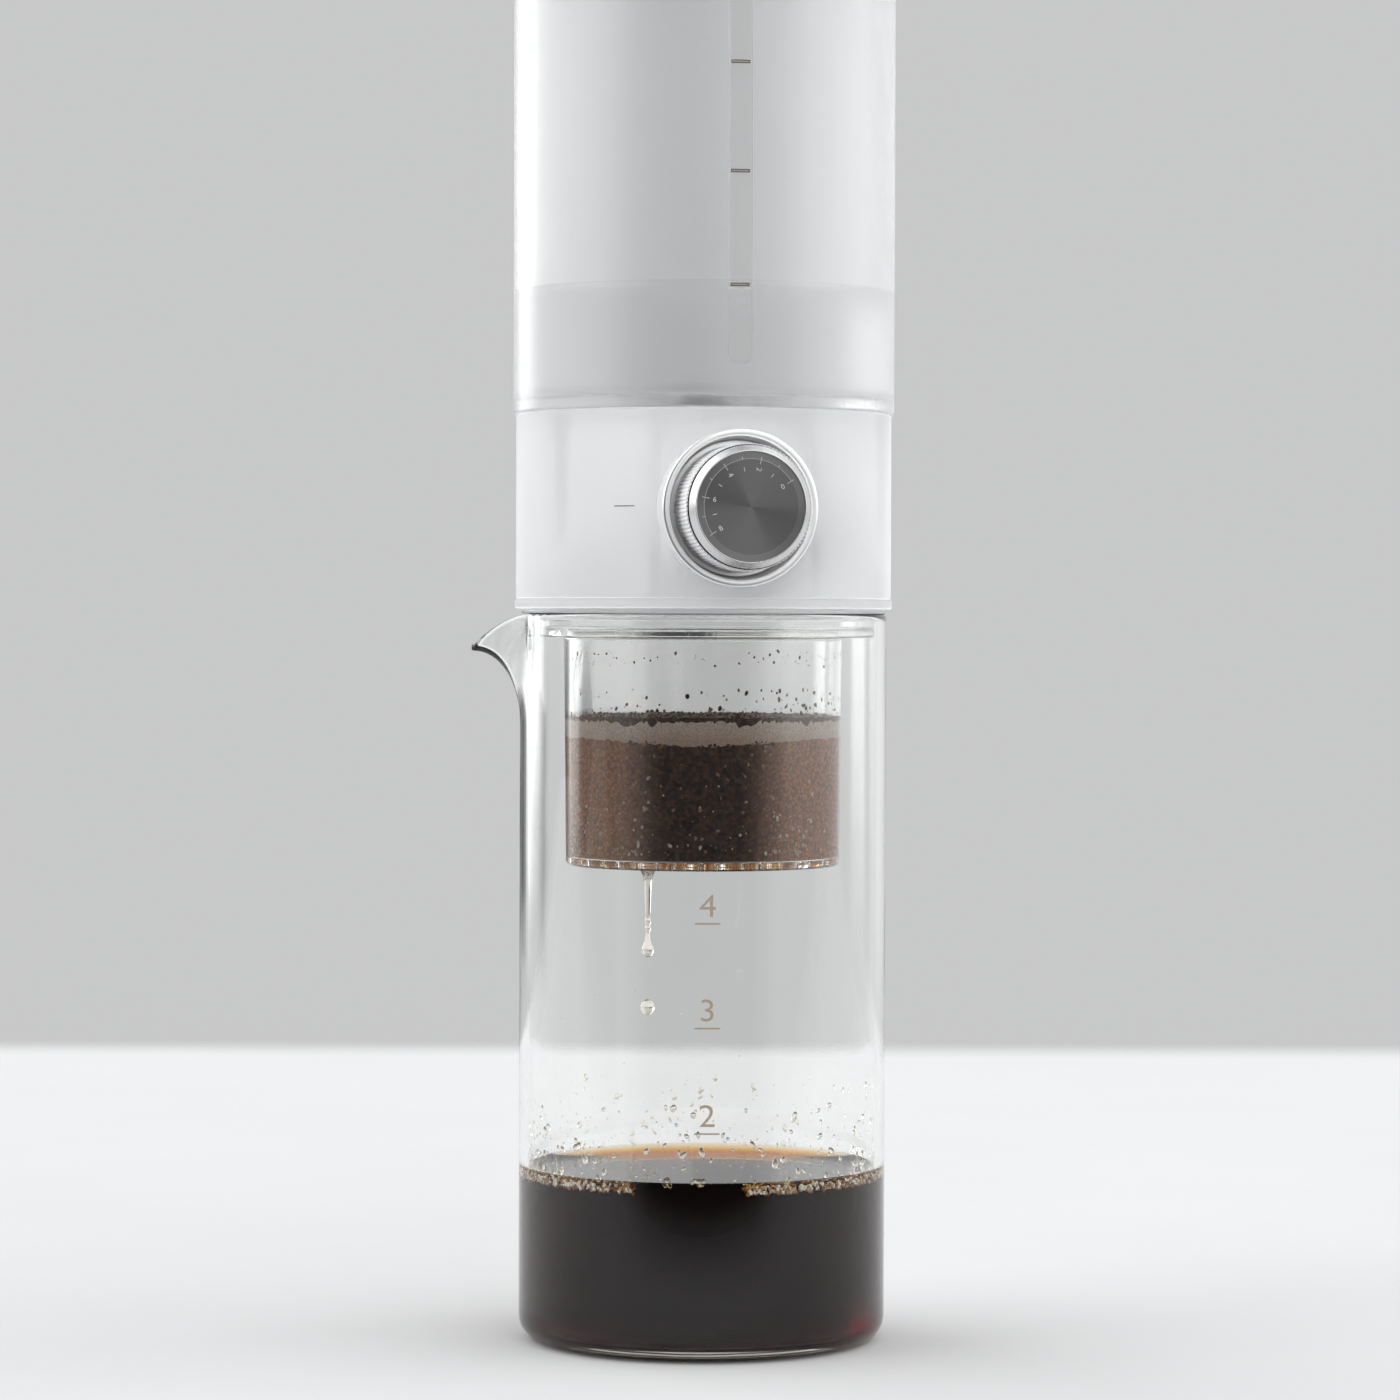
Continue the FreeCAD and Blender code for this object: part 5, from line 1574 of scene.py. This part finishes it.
def light_the_studio():
    """A grey backdrop, a dim room in front, a soft ceiling, and soft windows to the left and right."""
    world = bpy.data.worlds.new("studio")
    world.use_nodes = True
    tree = world.node_tree
    tree.nodes.clear()
    x, y, z = xyz(flow(tree, "ShaderNodeTexCoord", "Generated"))
    azimuth = maths("ARCTAN2", x, y)
    elevation = maths("ARCSINE", z)
    rays = add(tree, "ShaderNodeLightPath").outputs
    camera_ray = Flow(rays["Is Camera Ray"])
    back = step(maths("ABSOLUTE", azimuth), *radians(ROOM_EDGE))
    wall = back * (WALL_LEVEL - ROOM_LEVEL) + ROOM_LEVEL
    upper = wall + step(elevation, *radians(CEILING_EDGE)) * CEILING_LEVEL
    below = step(elevation, *radians(GROUND_EDGE))
    ground = Flow(rays["Is Glossy Ray"]) * (1.0 - back) * (GLOSSY_GROUND - GROUND_LEVEL) + GROUND_LEVEL
    level = upper * (1.0 - below) + below * ground
    for sides, softness, strength in WINDOWS:
        level = level + panel(azimuth, elevation, sides, softness) * strength
    unseen = 1.0 - camera_ray
    for sides, softness, share in FLAGS:
        level = level * (1.0 - panel(azimuth, elevation, sides, softness) * share * unseen)
    level = level * unseen + maths("MINIMUM", level, SEEN_LEVEL) * camera_ray
    colour = add(tree, "ShaderNodeCombineColor")
    feed_all(colour.inputs, *[level * tone for tone in DAYLIGHT])
    background = add(tree, "ShaderNodeBackground", Color=colour.outputs[0], Strength=1.0)
    add(tree, "ShaderNodeOutputWorld", Surface=background.outputs["Background"])
    bpy.context.scene.world = world


def make_table():
    left, right, front, back = -TABLE_HALF_WIDTH, TABLE_HALF_WIDTH, TABLE_FRONT[0], TABLE_BACK[1]
    points = [(x, y, TABLE_HEIGHT) for x, y in ((left, front), (right, front), (right, back), (left, back))]
    mesh = bpy.data.meshes.new("table_top")
    mesh.from_pydata(points, [], [(0, 1, 2, 3)])
    mesh.materials.append(TABLE)
    table = linked("table_top", mesh)


def make_camera():
    data = bpy.data.cameras.new("camera")
    data.sensor_width = SENSOR
    data.lens = LENS
    camera = linked("camera", data)
    camera.location = CAMERA_PLACE
    turn = (Matrix.Rotation(CAMERA_YAW, 3, "Z") @ Matrix.Rotation(math.pi / 2 - CAMERA_PITCH, 3, "X")
            @ Matrix.Rotation(CAMERA_ROLL, 3, "Z"))
    camera.rotation_euler = turn.to_euler()
    bpy.context.scene.camera = camera


def set_the_view():
    scene = bpy.context.scene
    scene.view_settings.view_transform = "Standard"
    scene.cycles.max_bounces = 24
    scene.cycles.transmission_bounces = 20
    scene.cycles.glossy_bounces = 6
    scene.cycles.diffuse_bounces = 4
    scene.cycles.transparent_max_bounces = 24
    scene.cycles.sample_clamp_indirect = 6.0


set_the_view()
make_camera()
light_the_studio()
make_table()

make_carafe()
make_cup_marks()
make_container()
make_gasket()
make_tank()
make_tank_marks()
make_escutcheon()
make_knob()
make_knurl()
make_dial()
make_dial_scale()
make_brewed_coffee()
make_coffee_bubbles()
make_condensation()
make_tank_water()
make_grounds()
make_crust_grains()
make_bed_grains()
make_wall_specks()
make_drips()

# CAD nodes whose own shape is shown, with their seams merged and their round faces shaded smooth
SMOOTH_COPIES = (
    ("frosted_collar", "base_collar", COLLAR, "tank"),
    ("collar_cover", "bottom_cover", COLLAR, "tank"),
    ("cover_fixings", "cover_screws", SCREW_METAL, "tank"),
    ("floor_seal", "tank_seal", SILICONE, "tank"),
    ("valve_nut", "inlet_nut", WHITE_PLASTIC, "tank"),
    ("steel_strainer", "inlet_strainer", STEEL, "tank"),
    ("moulded_valve", "valve_body", WHITE_PLASTIC, "tank"),
    ("nozzle_tip", "drip_nozzle", SCREW_METAL, "tank"),
    ("brass_gland", "gland_nut", BRASS, "tank"),
    ("brass_panel_nut", "panel_nut", BRASS, "tank"),
    ("brass_spindle", "valve_spindle", BRASS, "knob"),
    ("spindle_seals", "spindle_orings", BLACK_RUBBER, "knob"),
    ("knob_insert", "knob_core", BLACK_PLASTIC, "knob"),
    ("frosted_lid", "lid", FROSTED, "lid"),
    ("lid_ring", "lid_seal", SILICONE, "lid"),
    ("filter_mesh", "filter_disc", STEEL, "filter"),
    ("filter_frame", "filter_rim", SILICONE, "filter"),
    ("drip_plate", "distributor_plate", STEEL, "distributor"),
)
SMOOTH_COPY_ANGLE = 28.0
SLOTS = {part["node"]: part["material_slot"] for part in frame["record"]["subparts"]}
for name, node, material, body in SMOOTH_COPIES:
    copy = finished(name, frame["nodes"][node].data.copy(), material, SMOOTH_COPY_ANGLE)
    seat(copy, body, SLOTS[node], node)
